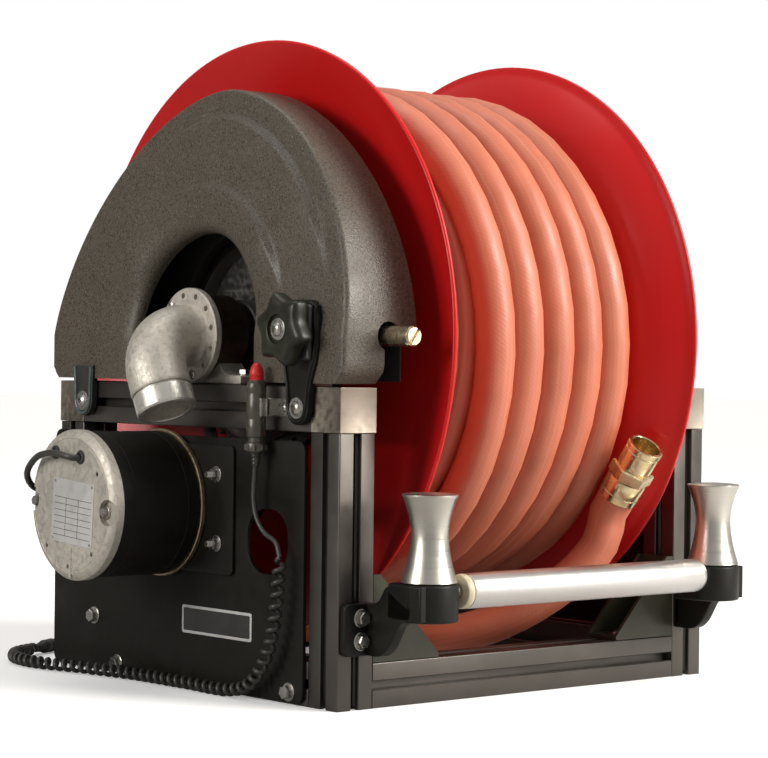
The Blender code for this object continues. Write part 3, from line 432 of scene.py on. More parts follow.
def plate_mesh(outlines, low, high, facing, edge=0.5, steps=2):
    """A flat piece with rounded edges, from low to high along an axis. Outlines after the first are holes."""
    curve = bpy.data.curves.new("outline", "CURVE")
    curve.dimensions = "2D"
    curve.fill_mode = "BOTH"
    curve.bevel_depth = edge * MM
    curve.bevel_resolution = steps
    curve.offset = -edge * MM
    curve.extrude = max(0.0, (high - low) / 2 - edge) * MM
    shift = {"X": (AXIS.y, 0), "Y": (AXIS.x, 0), "Z": (AXIS.x, AXIS.y)}[facing]
    for outline in outlines:
        spline = curve.splines.new("POLY")
        spline.points.add(len(outline) - 1)
        for point, (u, v) in zip(spline.points, outline):
            point.co = (u * MM + shift[0], v * MM + shift[1], 0, 1)
        spline.use_cyclic_u = True
    holder = bpy.data.objects.new("outline", curve)
    bpy.context.scene.collection.objects.link(holder)
    bpy.context.view_layer.update()
    graph = bpy.context.evaluated_depsgraph_get()
    mesh = bpy.data.meshes.new_from_object(holder.evaluated_get(graph))
    bpy.data.objects.remove(holder)
    shape = bmesh.new()
    shape.from_mesh(mesh)
    bmesh.ops.remove_doubles(shape, verts=shape.verts, dist=2e-6)
    middle = (low + high) / 2 * MM
    offset = {"X": AXIS.x + middle, "Y": -(AXIS.y + middle), "Z": middle}[facing]
    for vert in shape.verts:
        vert.co.z += offset
        vert.co = FACING[facing] @ vert.co
    bpy.data.meshes.remove(mesh)
    return shape


def plate(name, outlines, low, high, facing, material, body, edge=0.5, **rest):
    return piece(name, plate_mesh(outlines, low, high, facing, edge), material, body, **rest)


def block(shape, low, high):
    """Adds a box to a bmesh, corners in reel millimetres."""
    low, high = at(*low), at(*high)
    made = bmesh.ops.create_cube(shape, size=1)
    bmesh.ops.scale(shape, vec=high - low, verts=made["verts"])
    bmesh.ops.translate(shape, vec=(low + high) / 2, verts=made["verts"])
    return shape


def smooth_route(knots, spacing):
    """Points about spacing apart on one smooth curve through knots (Catmull-Rom)."""
    knots = [Vector(k) for k in knots]
    ends = [2 * knots[0] - knots[1], *knots, 2 * knots[-1] - knots[-2]]
    route = []
    for before, start, end, after in zip(ends, ends[1:], ends[2:], ends[3:]):
        count = max(1, round((end - start).length / spacing))
        for i in range(count):
            t = i / count
            route.append(
                0.5
                * (
                    2 * start
                    + (end - before) * t
                    + (2 * before - 5 * start + 4 * end - after) * t**2
                    + (3 * start - before - 3 * end + after) * t**3
                )
            )
    return [*route, knots[-1]]


def length_of(points):
    return sum((b - a).length for a, b in zip(points, points[1:]))


def tube(shape, points, radius, sides):
    """Adds a round tube along points (metres) to a bmesh, with UVs: turns round it, and metres along it."""
    layer = shape.loops.layers.uv.get("route") or shape.loops.layers.uv.new("route")
    radii = radius if callable(radius) else (lambda share: radius)
    headings = []
    for i in range(len(points)):
        before, after = points[max(i - 1, 0)], points[min(i + 1, len(points) - 1)]
        headings.append((after - before).normalized())
    side = headings[0].orthogonal().normalized()
    rows, along, run = [], [], 0.0
    total = length_of(points)
    for i, (point, heading) in enumerate(zip(points, headings)):
        if i:
            side = headings[i - 1].rotation_difference(heading) @ side
            run += (point - points[i - 1]).length
        side = (side - heading * side.dot(heading)).normalized()
        other = heading.cross(side)
        rows.append(circle_row(shape, point, side, other, radii(run / total), sides))
        along.append(run)
    for i, (near, far) in enumerate(zip(rows, rows[1:])):
        for k in range(sides):
            k2 = (k + 1) % sides
            face = shape.faces.new((near[k], near[k2], far[k2], far[k]))
            places = ((k, i), (k + 1, i), (k + 1, i + 1), (k, i + 1))
            for loop, (around, row) in zip(face.loops, places):
                loop[layer].uv = (around / sides, along[row])
    shape.faces.new(rows[0])
    shape.faces.new(rows[-1])
    return shape


def bolt(shape, centre, direction, size, kind="hex", turn=0.0):
    """Adds a fastener to a bmesh. It stands on the face at centre, and size is its head's radius in mm."""
    if kind == "button":
        angles = [math.radians(10 * i) for i in range(1, 7)]
        dome = [(size * math.cos(a), size * 0.62 * math.sin(a)) for a in angles]
        socket = [(size * 0.42, size * 0.60), (size * 0.40, size * 0.25), (0, size * 0.25)]
        lathe(shape, [(0, 0), (size, 0), *dome, *socket], centre, direction, 32)
        return
    washer = [(0, 0), (1.32, 0), (1.32, 0.14), (1.22, 0.22), (0, 0.22)]
    lathe(shape, [(size * r, size * height) for r, height in washer], centre, direction, 32)
    base = size * 0.2
    height = size * (0.85 if kind == "hex" else 0.95)
    head = [(size, base), (size, base + 0.82 * height), (0.90 * size, base + height)]
    hexagon(shape, centre, direction, head, turn)
    if kind == "nut":
        stud = [(0, base + height - 0.5), (size * 0.55, base + height - 0.5)]
        level = base + height
        while level < base + height + size * 0.9:
            stud += [(size * 0.55, level), (size * 0.49, level + 0.45)]
            level += 0.9
        lathe(shape, [*stud, (size * 0.42, level), (0, level)], centre, direction, 24)


def bolts(name, places, material, body):
    shape = bmesh.new()
    for index, (centre, direction, size, kind) in enumerate(places):
        bolt(shape, centre, direction, size, kind, 0.4 * index)
    return piece(name, shape, material, body, slot=None, smooth=30)


def cut(obj, shape):
    """Cuts a bmesh's shape out of a piece. The cutter's mesh is used up."""
    mesh = bpy.data.meshes.new("cutter")
    bmesh.ops.recalc_face_normals(shape, faces=shape.faces)
    shape.to_mesh(mesh)
    shape.free()
    cutter = bpy.data.objects.new("cutter", mesh)
    bpy.context.scene.collection.objects.link(cutter)
    step = obj.modifiers.new("cut", "BOOLEAN")
    step.operation = "DIFFERENCE"
    step.solver = "EXACT"
    step.object = cutter
    bake(obj)
    bpy.data.objects.remove(cutter)
    return obj


def bake(obj):
    """Applies every modifier of a piece."""
    bpy.context.view_layer.update()
    graph = bpy.context.evaluated_depsgraph_get()
    mesh = bpy.data.meshes.new_from_object(obj.evaluated_get(graph))
    obj.modifiers.clear()
    obj.data = mesh
    mesh.shade_smooth()
    mesh.set_sharp_from_angle(angle=math.radians(32))
    return obj


# --- Camera, light and floor -----------------------------------------------------------------------

LENS_MM = 117.20906
CAMERA_PLACE = (-1604.3, -1883.6, 306.7)


def make_camera():
    """A level view with a long lens, from the drive side and the front."""
    heading, tilt, roll = math.radians(40.50), math.radians(-0.475), math.radians(0.674)
    ahead = Vector((math.sin(heading) * math.cos(tilt), math.cos(heading) * math.cos(tilt), math.sin(tilt)))
    level = Vector((math.cos(heading), -math.sin(heading), 0))
    upright = level.cross(ahead)
    right = math.cos(roll) * level + math.sin(roll) * upright
    up = -math.sin(roll) * level + math.cos(roll) * upright
    data = bpy.data.cameras.new("camera")
    data.sensor_width = 36
    data.lens = LENS_MM
    data.clip_end = 60
    camera = bpy.data.objects.new("camera", data)
    bpy.context.scene.collection.objects.link(camera)
    turn = Matrix((right, up, -ahead)).transposed().to_4x4()
    camera.matrix_world = Matrix.Translation(at(*CAMERA_PLACE)) @ turn
    bpy.context.scene.camera = camera


def area_light(name, place, target, width, height, power, color):
    """A rectangle of light aimed at the target: width and height in metres, power in watts."""
    data = bpy.data.lights.new(name, "AREA")
    data.shape = "RECTANGLE"
    data.size = width
    data.size_y = height
    data.energy = power
    data.color = color
    light = bpy.data.objects.new(name, data)
    bpy.context.scene.collection.objects.link(light)
    light.location = place
    light.rotation_euler = (Vector(target) - Vector(place)).to_track_quat("-Z", "Y").to_euler()


def make_studio():
    """A warm key from above the front, three soft lights, and surroundings that are brightest overhead.

    The camera sees the surroundings and the floor as white, and they light the reel less than that."""
    world = bpy.data.worlds.new("studio")
    world.use_nodes = True
    nodes, links = world.node_tree.nodes, world.node_tree.links
    background = nodes["Background"]
    background.inputs["Strength"].default_value = 1.0
    direction = nodes.new("ShaderNodeTexCoord")
    facing = nodes.new("ShaderNodeVectorMath")
    facing.operation = "DOT_PRODUCT"
    facing.inputs[1].default_value = (0.40, -0.42, 0.81)
    links.new(direction.outputs["Generated"], facing.inputs[0])
    ramp = nodes.new("ShaderNodeValToRGB")
    ramp.color_ramp.elements[0].position = 0.18
    ramp.color_ramp.elements[0].color = (0.03, 0.029, 0.028, 1)
    ramp.color_ramp.elements[1].position = 0.78
    ramp.color_ramp.elements[1].color = (0.46, 0.455, 0.45, 1)
    spread = nodes.new("ShaderNodeMapRange")
    spread.inputs["From Min"].default_value = -1.0
    links.new(facing.outputs["Value"], spread.inputs["Value"])
    links.new(spread.outputs["Result"], ramp.inputs["Fac"])
    light_path = nodes.new("ShaderNodeLightPath")
    mix = nodes.new("ShaderNodeMix")
    mix.data_type = "RGBA"
    mix.inputs["B"].default_value = (1.0, 1.0, 1.0, 1)
    links.new(light_path.outputs["Is Camera Ray"], mix.inputs["Factor"])
    links.new(ramp.outputs["Color"], mix.inputs["A"])
    links.new(mix.outputs["Result"], background.inputs["Color"])
    bpy.context.scene.world = world
    bpy.context.scene.view_settings.view_transform = "Standard"
    make_floor()
    target = at(0, 0, 300)
    sun = bpy.data.lights.new("key", "SUN")
    sun.energy = 2.7
    sun.angle = math.radians(24)
    sun.color = (1.0, 0.97, 0.92)
    key = bpy.data.objects.new("key", sun)
    bpy.context.scene.collection.objects.link(key)
    key.rotation_euler = Vector((-0.42, 0.70, -0.58)).to_track_quat("-Z", "Y").to_euler()
    area_light("top", at(-200, 300, 2600), target, 1.8, 1.4, 14, (1.0, 0.98, 0.96))
    area_light("right", at(1350, -2350, 1150), target, 0.9, 1.3, 44, (1.0, 0.97, 0.92))
    area_light("left", at(-2300, 200, 900), target, 1.0, 1.0, 30, (1.0, 0.97, 0.93))


def make_floor():
    """Pale paper, darker on the drive side, so that little light comes off it onto the black plate."""
    shape = bmesh.new()
    bmesh.ops.create_grid(shape, x_segments=2, y_segments=2, size=14)
    mesh = bpy.data.meshes.new("floor")
    shape.to_mesh(mesh)
    shape.free()
    floor = bpy.data.objects.new("floor", mesh)
    bpy.context.scene.collection.objects.link(floor)
    paper = Shader("studio_floor", (0.30, 0.295, 0.29), 0.8, specular=0.1)
    across = paper.nodes.new("ShaderNodeSeparateXYZ")
    paper.link(paper.space(), across.inputs[0])
    paper.tint(across.outputs["X"], (0.86, 0.855, 0.85), -0.35, 0.35)
    seen = paper.nodes.new("ShaderNodeLightPath").outputs["Is Camera Ray"]
    paper.tint(seen, (0.93, 0.925, 0.92), 0, 1)
    paper.put("Emission Color", (1.0, 1.0, 1.0, 1.0))
    paper.link(paper.ranged(seen, 0, 0.2, 0, 1), paper.shader.inputs["Emission Strength"])
    mesh.materials.append(paper.material)


# --- Hose and cords --------------------------------------------------------------------------------

HOSE_RADIUS = 18.25
LAST_TURN_ENDS, LAST_TURN_X = 166, -84.0  # in degrees round the drum, and along it
TAIL_END = Vector((109, -221, 178))
TAIL_HEADING = Vector((0, -0.6, 0.8))


def around_drum(x, radius, degrees):
    """A point by its distance from the drum's axis and its angle from the front, going down and back."""
    a = math.radians(degrees)
    return at(x, -radius * math.cos(a), AXIS_Z - radius * math.sin(a))


def winding_route():
    """The hose on the drum: four layers, wound across the drum and back, a little unevenly.

    At the end of each layer it dwells against the flange for half a turn while it climbs to the next."""
    pitch, steps = 36.6, 40
    layers = (126, 160, 194, 227.5)
    left, right = -96.0, 95.0
    route = []
    dwell = 0.55
    spans = []
    for index in range(len(layers)):
        start, end = (left, right) if index % 2 == 0 else (right, left)
        if index == len(layers) - 1:
            spans.append((start, LAST_TURN_X, abs(LAST_TURN_X - start) / pitch))
        else:
            spans.append((start, end, abs(end - start) / pitch + dwell))
    angle = (LAST_TURN_ENDS + 360 * sum(span[2] for span in spans)) % 360
    for index, radius in enumerate(layers):
        last = index == len(layers) - 1
        start, end, turns = spans[index]
        heading = math.copysign(pitch, end - start)
        count = round(turns * steps)
        for i in range(count):
            turn = i * turns / count
            across = start + heading * max(0.0, turn - (0.0 if index == 0 else dwell * 0.4))
            across = min(max(across, min(start, end)), max(start, end))
            rise = 0.0
            if not last:
                climb = max(0.0, (turn - (turns - 0.3)) / 0.3)
                rise = (layers[index + 1] - radius) * (climb * climb * (3 - 2 * climb))
            here = angle - 360 * turn
            wander = 0.8 * math.sin(2.1 * turn + index) + 0.5 * math.sin(5.3 * turn + 2 * index)
            sag = 0.9 * math.sin(math.radians(2 * here) + 1.3 * turn)
            route.append(around_drum(across + wander, radius + rise + sag, here))
        angle -= 360 * turns
    return route


def tail_route():
    """From the last turn down under the drum, and up in front of it to the coupling."""
    under = [
        (-83, 240, 150), (-80, 252, 134), (-76, 266, 118), (-64, 279, 102), (-40, 292, 87), (-5, 300, 74),
        (40, 302, 63), (80, 294, 52), (103, 282, 43.5)
    ]
    return [*[around_drum(*p) for p in under], at(*(TAIL_END - TAIL_HEADING * 20)), at(*TAIL_END)]


def make_hose():
    """One hose, from the first turn on the drum to the coupling."""
    wound = winding_route()
    tail = smooth_route([wound[-1], *tail_route()], 0.018)
    route = [*wound[:-1], *tail]
    shape = tube(bmesh.new(), route, HOSE_RADIUS * MM, 20)
    hose = piece("hose", shape, "hose", "drum", replaces=("hose_winding", "hose_tail"), smooth=60)
    make_coupling()


def make_coupling():
    """The male brass fitting: a grooved ferrule, a hexagon, and a nose with a hollow mouth."""
    r = HOSE_RADIUS
    base = at(*(TAIL_END + TAIL_HEADING * 0.3))
    shape = bmesh.new()
    ferrule = [
        (0, 0), (r + 0.3, 0), (r + 1.0, 0.8), (r + 1.0, 7), (r + 0.5, 7.6), (r + 0.5, 8.4), (r + 1.0, 9),
        (r + 1.0, 22), (r + 0.2, 23.4), (0, 23.4)
    ]
    lathe(shape, ferrule, base, TAIL_HEADING, 96)
    nose = [
        (0, 35), (16.2, 35), (16.2, 37.5), (17.2, 38.2), (17.2, 54), (16.4, 55), (16.4, 56), (17.6, 56.8),
        (17.6, 60.6), (16.8, 61.6), (14.6, 61.8), (13.9, 61), (13.4, 36), (0, 36)
    ]
    lathe(shape, nose, base, TAIL_HEADING, 96)
    hexagon(shape, base, TAIL_HEADING, [(19.2, 23.2), (21.6, 24.8), (21.6, 34.6), (19.4, 36)], 0.3)
    return piece("coupling", shape, "brass", "drum", replaces=("hose_coupling",))


def switch_point():
    low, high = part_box("switch_body")
    centre = (low + high) / 2
    return (centre.x - AXIS.x) / MM, (centre.y - AXIS.y) / MM


SWITCH_X, SWITCH_Y = switch_point()
CORD_RADIUS = 2.3
COIL_RADIUS = 6.5
COIL_PITCH = 10.6


def make_cords():
    """The switch's curled cord, which hangs down to the floor and lies along it, and the leads."""
    down = [(-249, -159, 131), (-250, -156, 90), (-250, -146, 50), (-250, -122, 18)]
    lying = [
        (-249, -85), (-250, -20), (-253, 55), (-264, 120), (-279, 180), (-276, 226), (-253, 262), (-216, 283)
    ]
    route = smooth_route([at(*p) for p in down] + [at(x, y, 7) for x, y in lying], 0.008)
    helix = curl(route, COIL_RADIUS - CORD_RADIUS, COIL_PITCH)
    shape = tube(bmesh.new(), helix, CORD_RADIUS * MM, 8)
    coil = piece("switch_coil_cord", shape, "cord", "frame", replaces=("switch_coil",), smooth=60)
    hanging = [(0, 221.5), (1, 205), (2.5, 182), (-2, 164), (-14, 151), (-30, 144)]
    lead_knots = [at(SWITCH_X, SWITCH_Y + y, z) for y, z in hanging]
    lead_route = smooth_route([*lead_knots, helix[0]], 0.006)
    shape = tube(bmesh.new(), lead_route, CORD_RADIUS * MM, 14)
    lead = piece("switch_lead_cord", shape, "cord", "frame", replaces=("switch_lead",), smooth=60)
    plug = make_connector(route[-1], (route[-1] - route[-2]).normalized())
    make_motor_lead()


def curl(route, radius, pitch):
    """A helix round a route: radius and pitch in mm."""
    total = length_of(route) / MM
    turns = total / pitch
    points, index = [], 0
    lengths = [(b - a).length / MM for a, b in zip(route, route[1:])]
    headings = [(b - a).normalized() for a, b in zip(route, route[1:])]
    side = headings[0].orthogonal().normalized()
    sides = [side]
    for before, after in zip(headings, headings[1:]):
        side = before.rotation_difference(after) @ side
        sides.append(side)
    steps = round(turns * 14)
    starts = [0.0]
    for piece_length in lengths:
        starts.append(starts[-1] + piece_length)
    for step in range(steps + 1):
        run = total * step / steps
        while index < len(lengths) - 1 and run > starts[index + 1]:
            index += 1
        share = (run - starts[index]) / lengths[index]
        centre = route[index].lerp(route[index + 1], share)
        after = min(index + 1, len(headings) - 1)
        heading = headings[index].lerp(headings[after], share).normalized()
        across = sides[index].lerp(sides[after], share)
        across = (across - heading * across.dot(heading)).normalized()
        angle = math.tau * run / pitch
        taper = min(1.0, 0.35 + run / 12, 0.35 + (total - run) / 12)
        spoke = across * math.cos(angle) + heading.cross(across) * math.sin(angle)
        points.append(centre + spoke * radius * taper * MM)
    return points


def make_connector(end, towards):
    """A round cable connector with a ribbed relief and a knurled ring."""
    profile = [(0, 0), (3.2, 0), (4.0, 1.5)]
    for i in range(4):
        r, level = 4.3 + 0.4 * i, 2.4 * i
        profile += [(r, level + 2.5), (r, level + 3.8), (r - 0.6, level + 4.1)]
    profile += [
        (6.2, 13), (6.7, 14), (6.7, 22), (6.1, 22.6), (6.1, 24), (6.8, 24.6), (6.8, 31), (6.4, 33.6),
        (5.2, 33.6), (5.2, 28), (0, 28)
    ]
    base = end + towards * 0.3 * MM
    return turned(
        "switch_connector", profile, base, towards, "plastic", "frame", 40, replaces=("switch_plug",)
    )


def make_motor_lead():
    """From the motor's end face, over its edge and back to a gland in the side plate."""
    face = (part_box("motor_end_bell")[0].x - AXIS.x) / MM
    knots = [
        (-1.2, 18, 213), (-8, 20, 213.5), (-12, 45, 217), (-10, 75, 212), (-2, 104, 196), (20, 126, 181),
        (55, 146, 176)
    ]
    route = smooth_route([*[at(face + x, y, z) for x, y, z in knots], at(-250, *LEAD_HOLE)], 0.008)
    shape = tube(bmesh.new(), route, 3 * MM, 14)
    lead = piece("motor_lead_cord", shape, "cord", "frame", replaces=("motor_lead",), smooth=60)
    gland = [(0, -0.5), (8, -0.5), (8, 4), (6.4, 5), (6.4, 11), (5, 13), (3.4, 14.5), (0, 14.5)]
    turned("lead_gland", gland, at(-235.5, *LEAD_HOLE), -X, "plastic", "frame", 32)


make_camera()
make_studio()
make_hose()
make_cords()


# --- Carried-over nodes ----------------------------------------------------------------------------


def dress_nodes():
    """Gives each solid of the CAD model the first material of its slot, but for a few."""
    for node in frame["nodes"].values():
        slot = node.data.materials[0].name
        node.data.materials[0] = MATERIAL[SLOTS[slot][0]]
    for name in ("switch_clip", "guide_pin", "bearing_left", "bearing_right"):
        frame["nodes"][name].data.materials[0] = MATERIAL["steel"]
    for name in frame["nodes"]:
        if name.startswith("gusset"):
            frame["nodes"][name].data.materials[0] = MATERIAL["bracket"]


# --- Frame -----------------------------------------------------------------------------------------


def t_slot(u, v):
    """The outline of a 40 mm profile round (u, v). Each side's slot is wider behind its two lips."""
    side = [
        *arc((18.8, -18.8), 1.2, -45, 0, 3), (20, -4.7), (19.3, -4), (15.5, -4), (15.5, -8), (13, -8),
        (10.5, -5.5)
    ]
    side += [
        (10.5, 5.5), (13, 8), (15.5, 8), (15.5, 4), (19.3, 4), (20, 4.7),
        *arc((18.8, 18.8), 1.2, 0, 45, 3)[:-1]
    ]
    points = []
    for _ in range(4):
        points += [(u + a, v + b) for a, b in side]
        side = [(-b, a) for a, b in side]
    return points


def make_bars():
    """The profile lengths stop 0.3 mm short of what they meet."""
    half_depth, half_width, post_top = 177.7, 190.7, 240.7

    def bar(name, outline, low, high, facing):
        plate(name + "_bar", [outline], low, high, facing, "anodised", "frame", 0.35, replaces=(name,))

    for side, x in (("left", -FRAME_X), ("right", FRAME_X)):
        bar(f"base_rail_{side}", t_slot(x, RAIL_Z), -half_depth, half_depth, "Y")
        bar(f"top_rail_{side}", t_slot(x, TOP_RAIL_Z), -half_depth, half_depth, "Y")
        for end, y in (("front", -FRAME_Y), ("rear", FRAME_Y)):
            bar(f"post_{end}_{side}", t_slot(x, y), 0, post_top, "Z")
            make_cap(f"corner_cap_{end}_{side}", x, y)
    for end, y in (("front", -FRAME_Y), ("rear", FRAME_Y)):
        bar(f"base_rail_{end}", t_slot(y, RAIL_Z), -half_width, half_width, "X")


def make_cap(name, x, y):
    """A cast corner cap with a plain sunk panel in each outer face."""
    out, along = math.copysign(1, x), math.copysign(1, y)
    xs = sorted((out * 190.4, out * 231.6))
    ys = sorted((along * 178.4, along * 219.3))
    shape = block(bmesh.new(), (xs[0], ys[0], 241.1), (xs[1], ys[1], 281))
    shape.normal_update()
    outer = [f for f in shape.faces if f.normal.x * out > 0.9 or f.normal.y * along > 0.9]
    for face in outer:
        bmesh.ops.inset_individual(shape, faces=[face], thickness=3.2 * MM, depth=-0.7 * MM)
    cap = piece(name + "_casting", shape, "cap", "frame", replaces=(name,))
    soften(cap, 0.7, 3, 30)


def make_plates():
    """The black side plates, the motor's mount, and a blank label with a pale border."""
    thick = 4.0
    motor_hole = circle(MOTOR, 41, 64)
    access = rounded((-152, 113), (-94, 171), 24, 12)
    outline = rounded((-175, 2), (221, 233), 9, 9)
    for side, low, holes in (("left", -PLATE_FACE, [motor_hole, access]), ("right", PLATE_FACE - thick, [])):
        names = (f"side_plate_{side}",)
        outlines = [outline, *holes]
        plate(f"side_panel_{side}", outlines, low, low + thick, "X", "black", "frame", 0.6, replaces=names)
    mount = [rounded((-76, 108), (130, 226), 6, 7), circle(MOTOR, 28, 48)]
    plate(
        "motor_mount", mount, MOUNT_FACE, MOUNT_FACE + 3, "X", "black", "frame", 0.5,
        replaces=("motor_plate",)
    )
    border = rounded((-102, 50), (4, 76), 2.5, 5)
    field = rounded((-99.4, 52.6), (1.4, 73.4), 1.6, 5)
    plate("blank_label", [border], -PLATE_FACE - 0.5, -PLATE_FACE, "X", "plate", "frame", 0.1)
    plate("blank_label_field", [field], -PLATE_FACE - 0.65, -PLATE_FACE - 0.4, "X", "plastic", "frame", 0.05)


def make_frame_bolts():
    """The bolts of the side plates, the motor's mount, the bearings, the arms, the switch and the gussets."""
    places = [
        (at(-PLATE_FACE, y, z), -X, 6.4, "hex") for y, z in ((149.4, 53.2), (109.2, 10.4), (-156.2, 11.5))
    ]
    places += [(at(MOUNT_FACE, y, z), -X, 5.6, "nut") for y, z in ((-51, 199), (-52, 136))]
    places += [(at(MOUNT_FACE, 116, z), -X, 5.6, "hex") for z in (214, 120)]
    right = ((-150, RAIL_Z), (-150, 226), (150, RAIL_Z), (150, 226), (-60, RAIL_Z), (60, RAIL_Z))
    places += [(at(PLATE_FACE, y, z), X, 6.0, "hex") for y, z in right]
    for side in (-1, 1):
        places += [(at(side * 207, y, 289.3), Z, 5.5, "hex") for y in (-50, 50)]
        places += [(at(side * FRAME_X, -225.3, z), -Y, 6.2, "hex") for z in (81, 61)]
    places += [(at(-232.9, y, STRAP_BOLT_Z), -X, 3.6, "button") for y in (-101, -143)]
    bolts("frame_bolts", places, "steel", "frame")
    corners = [(side * x, end * FRAME_Y) for side in (-1, 1) for end in (-1, 1) for x in (132, 164)]
    bolts("gusset_bolts", [(at(x, y, 44.2), Z, 5.2, "button") for x, y in corners], "dark_steel", "frame")


def make_pillow(side, material):
    """A bearing housing on its foot. On the drive side the housing runs on as the swivel's body."""
    name = "left" if side < 0 else "right"
    near, far = 193.2, 221.0 if side > 0 else 227.6
    ring = [(30.4, near), (36.8, near), (38, near + 1.2), (38, far - 1.4), (36.6, far)]
    ring += [(30.4, far)] if side > 0 else [(22.5, far), (22.5, 221.4), (30.4, 221.4)]
    stands_for = ("swivel_body",) if side < 0 else ()
    turned(
        f"housing_{name}", ring, at(0, 0, AXIS_Z), side * X, material, "frame", 72, True, replaces=stands_for
    )
    half = [(61, 281.3), (62, 282.3), (62, 288.3), (61, 289.3), (44, 289.6), (36, 292), (31, 297)]
    foot = [(-61, 281.3), *half, *arc((0, AXIS_Z), 34, 318, 222, 13)]
    foot += [(-y, z) for y, z in reversed(half[1:])]
    low, high = sorted((side * near, side * 220.8))
    plate(
        f"housing_foot_{name}", [foot], low, high, "X", "cast", "frame", 1.0,
        replaces=(f"pillow_block_{name}",)
    )


# --- Cover -----------------------------------------------------------------------------------------

COVER_BOTTOM = 284
COVER_HALF = 228
COVER_RISE = 231
COVER_FACE = -236
COVER_BACK = -153
COVER_LEAN = 0.172


def dome(inset, squareness, count=97):
    """The cover's outline over the axis, from one side to the other, as (y, z)."""
    angles = [math.pi * k / (count - 1) for k in range(1, count - 1)]
    power = 2 / squareness
    shares = [(math.copysign(abs(math.cos(a)) ** power, math.cos(a)), math.sin(a) ** power) for a in angles]
    half, rise = COVER_HALF - inset, COVER_RISE - inset
    return [(half * across, AXIS_Z + rise * up) for across, up in ((1, 0), *shares, (-1, 0))]


def face_x(z):
    """The cover's face stands upright below the axis, and leans back above it."""
    return COVER_FACE + COVER_LEAN * max(0.0, z - AXIS_Z)


def cover_row(shape, inset, behind, proud=0.0, reach=1.0, leg_steps=8):
    """One line of the cover's surface: a dome on two straight legs.

    It lies the given distance behind the face, and stands proud of it over the top. A reach under 1 is that
    share of the way from the back edge to the face."""
    squareness = 2 - 0.22 * min(1.0, max(0.0, (90 - inset) / 60))
    crown = dome(inset, squareness)
    legs = []
    for i in range(leg_steps):
        z = COVER_BOTTOM + (AXIS_Z - COVER_BOTTOM) * i / leg_steps
        legs.append((min(crown[0][0], COVER_HALF - 12 + max(0.0, z - COVER_BOTTOM)), z))
    points = [*legs, *crown, *[(-y, z) for y, z in reversed(legs)]]
    row = []
    for y, z in points:
        turn = math.degrees(math.atan2(max(0.0, z - AXIS_Z), abs(y)))
        share = min(1.0, max(0.0, (turn - 12) / 30))
        x = face_x(z) + behind - proud * share * share * (3 - 2 * share)
        row.append(shape.verts.new(at(COVER_BACK + reach * (x - COVER_BACK), y, z)))
    return row


def make_cover():
    """The moulded shell: a band, a rounded front edge, two stepped faces and a mouth with a rounded lip."""
    band = [(0, 4.5, 0, reach) for reach in (0, 0.02, 0.25, 0.5, 0.75, 1)]
    corner = [(0.5, 2.4), (1.5, 1.0), (3, 0.3), (5, 0), (14, 0), (22.2, 0)]
    panel = [
        (22.9, 0, 0.5), (23.8, 0, 1.5), (27.6, 0, 5.2), (28.4, 0, 5.9), (29.8, 0, 6.2), (50, 0, 6.2),
        (84, 0, 6.0)
    ]
    collar = [
        (88.0, 0, 6.2), (88.9, 0, 6.8), (92.4, 0, 10.6), (93.4, 0, 11.3), (95.2, 0, 11.5), (108, 0, 10.8)
    ]
    lip = [
        (117, 0.2, 9.4), (123, 0.8, 7.8), (127.6, 1.8, 6.0), (131, 3.2, 4.2), (133.4, 5, 2.6),
        (134.8, 7.2, 1.4), (135.4, 10, 0.4), (135.6, 13, 0)
    ]
    profile = [*band, *corner, *panel, *collar, *lip]
    shape = bmesh.new()
    rows = [cover_row(shape, *line) for line in profile]
    # The creases that carry a painted highlight in the lighter edge moulding: round the front, and where the
    # two raised faces begin.
    creases = ((0, 2), (23, 28), (88.5, 93))
    edges = [
        i for i, line in enumerate(profile[:-1]) if any(low < line[0] < high for low, high in creases)
    ]
    for index, (near, far) in enumerate(zip(rows, rows[1:])):
        for k in range(len(near) - 1):
            face = shape.faces.new((near[k], near[k + 1], far[k + 1], far[k]))
            face.material_index = int(index in edges)
    bmesh.ops.recalc_face_normals(shape, faces=shape.faces)
    crest = next(f for f in shape.faces if f.calc_center_median().z > at(0, 0, AXIS_Z + COVER_RISE - 1).z)
    if crest.normal.z < 0:
        bmesh.ops.reverse_faces(shape, faces=shape.faces)
    mesh = bpy.data.meshes.new("cover_shell")
    shape.to_mesh(mesh)
    shape.free()
    shell = piece("cover_shell", mesh, "cover", "frame", replaces=("gear_cover",), smooth=40)
    # The second material paints a highlight along the creases.
    mesh.materials.append(MATERIAL["cover_highlight_edge"])
    wall = shell.modifiers.new("wall", "SOLIDIFY")
    wall.thickness = 2.6 * MM
    wall.offset = -1
    wall.use_even_offset = True
    bake(shell)
    # The crank's hole, which is open down to the cover's edge, and the brake screw's hole.
    hole = lathe(bmesh.new(), [(0, 150), (13, 150), (13, 262), (0, 262)], at(CRANK_X, 0, AXIS_Z), -Y, 32)
    cut(shell, hole)
    cut(shell, block(bmesh.new(), (-190, -262, 262), (-145, -180, AXIS_Z)))
    cut(shell, lathe(bmesh.new(), [(0, 225), (5.6, 225), (5.6, 245), (0, 245)], at(0, *KNOB), -X, 24))
    liner = [(224, 286), *dome(4, 1.78, 65), (-224, 286), (-101, 286)]
    liner += [*arc((0, AXIS_Z), 101, 180, 0, 49), (101, 286)]
    plate("cover_liner", [liner], -168.6, -167, "X", "plastic", "frame", 0.3)
    lip = [(103, 286), *arc((0, AXIS_Z), 103, 0, 180, 65), (-103, 286), (-101.5, 286)]
    lip += [*arc((0, AXIS_Z), 101.5, 180, 0, 65), (101.5, 286)]
    plate("cover_liner_lip", [lip], -167.2, -154, "X", "plastic", "frame", 0.3)


def strap_rim(knots, radius=1.9):
    """A raised round rim along the strap's face."""
    return tube(bmesh.new(), smooth_route([at(STRAP_FACE, y, z) for y, z in knots], 0.004), radius * MM, 12)


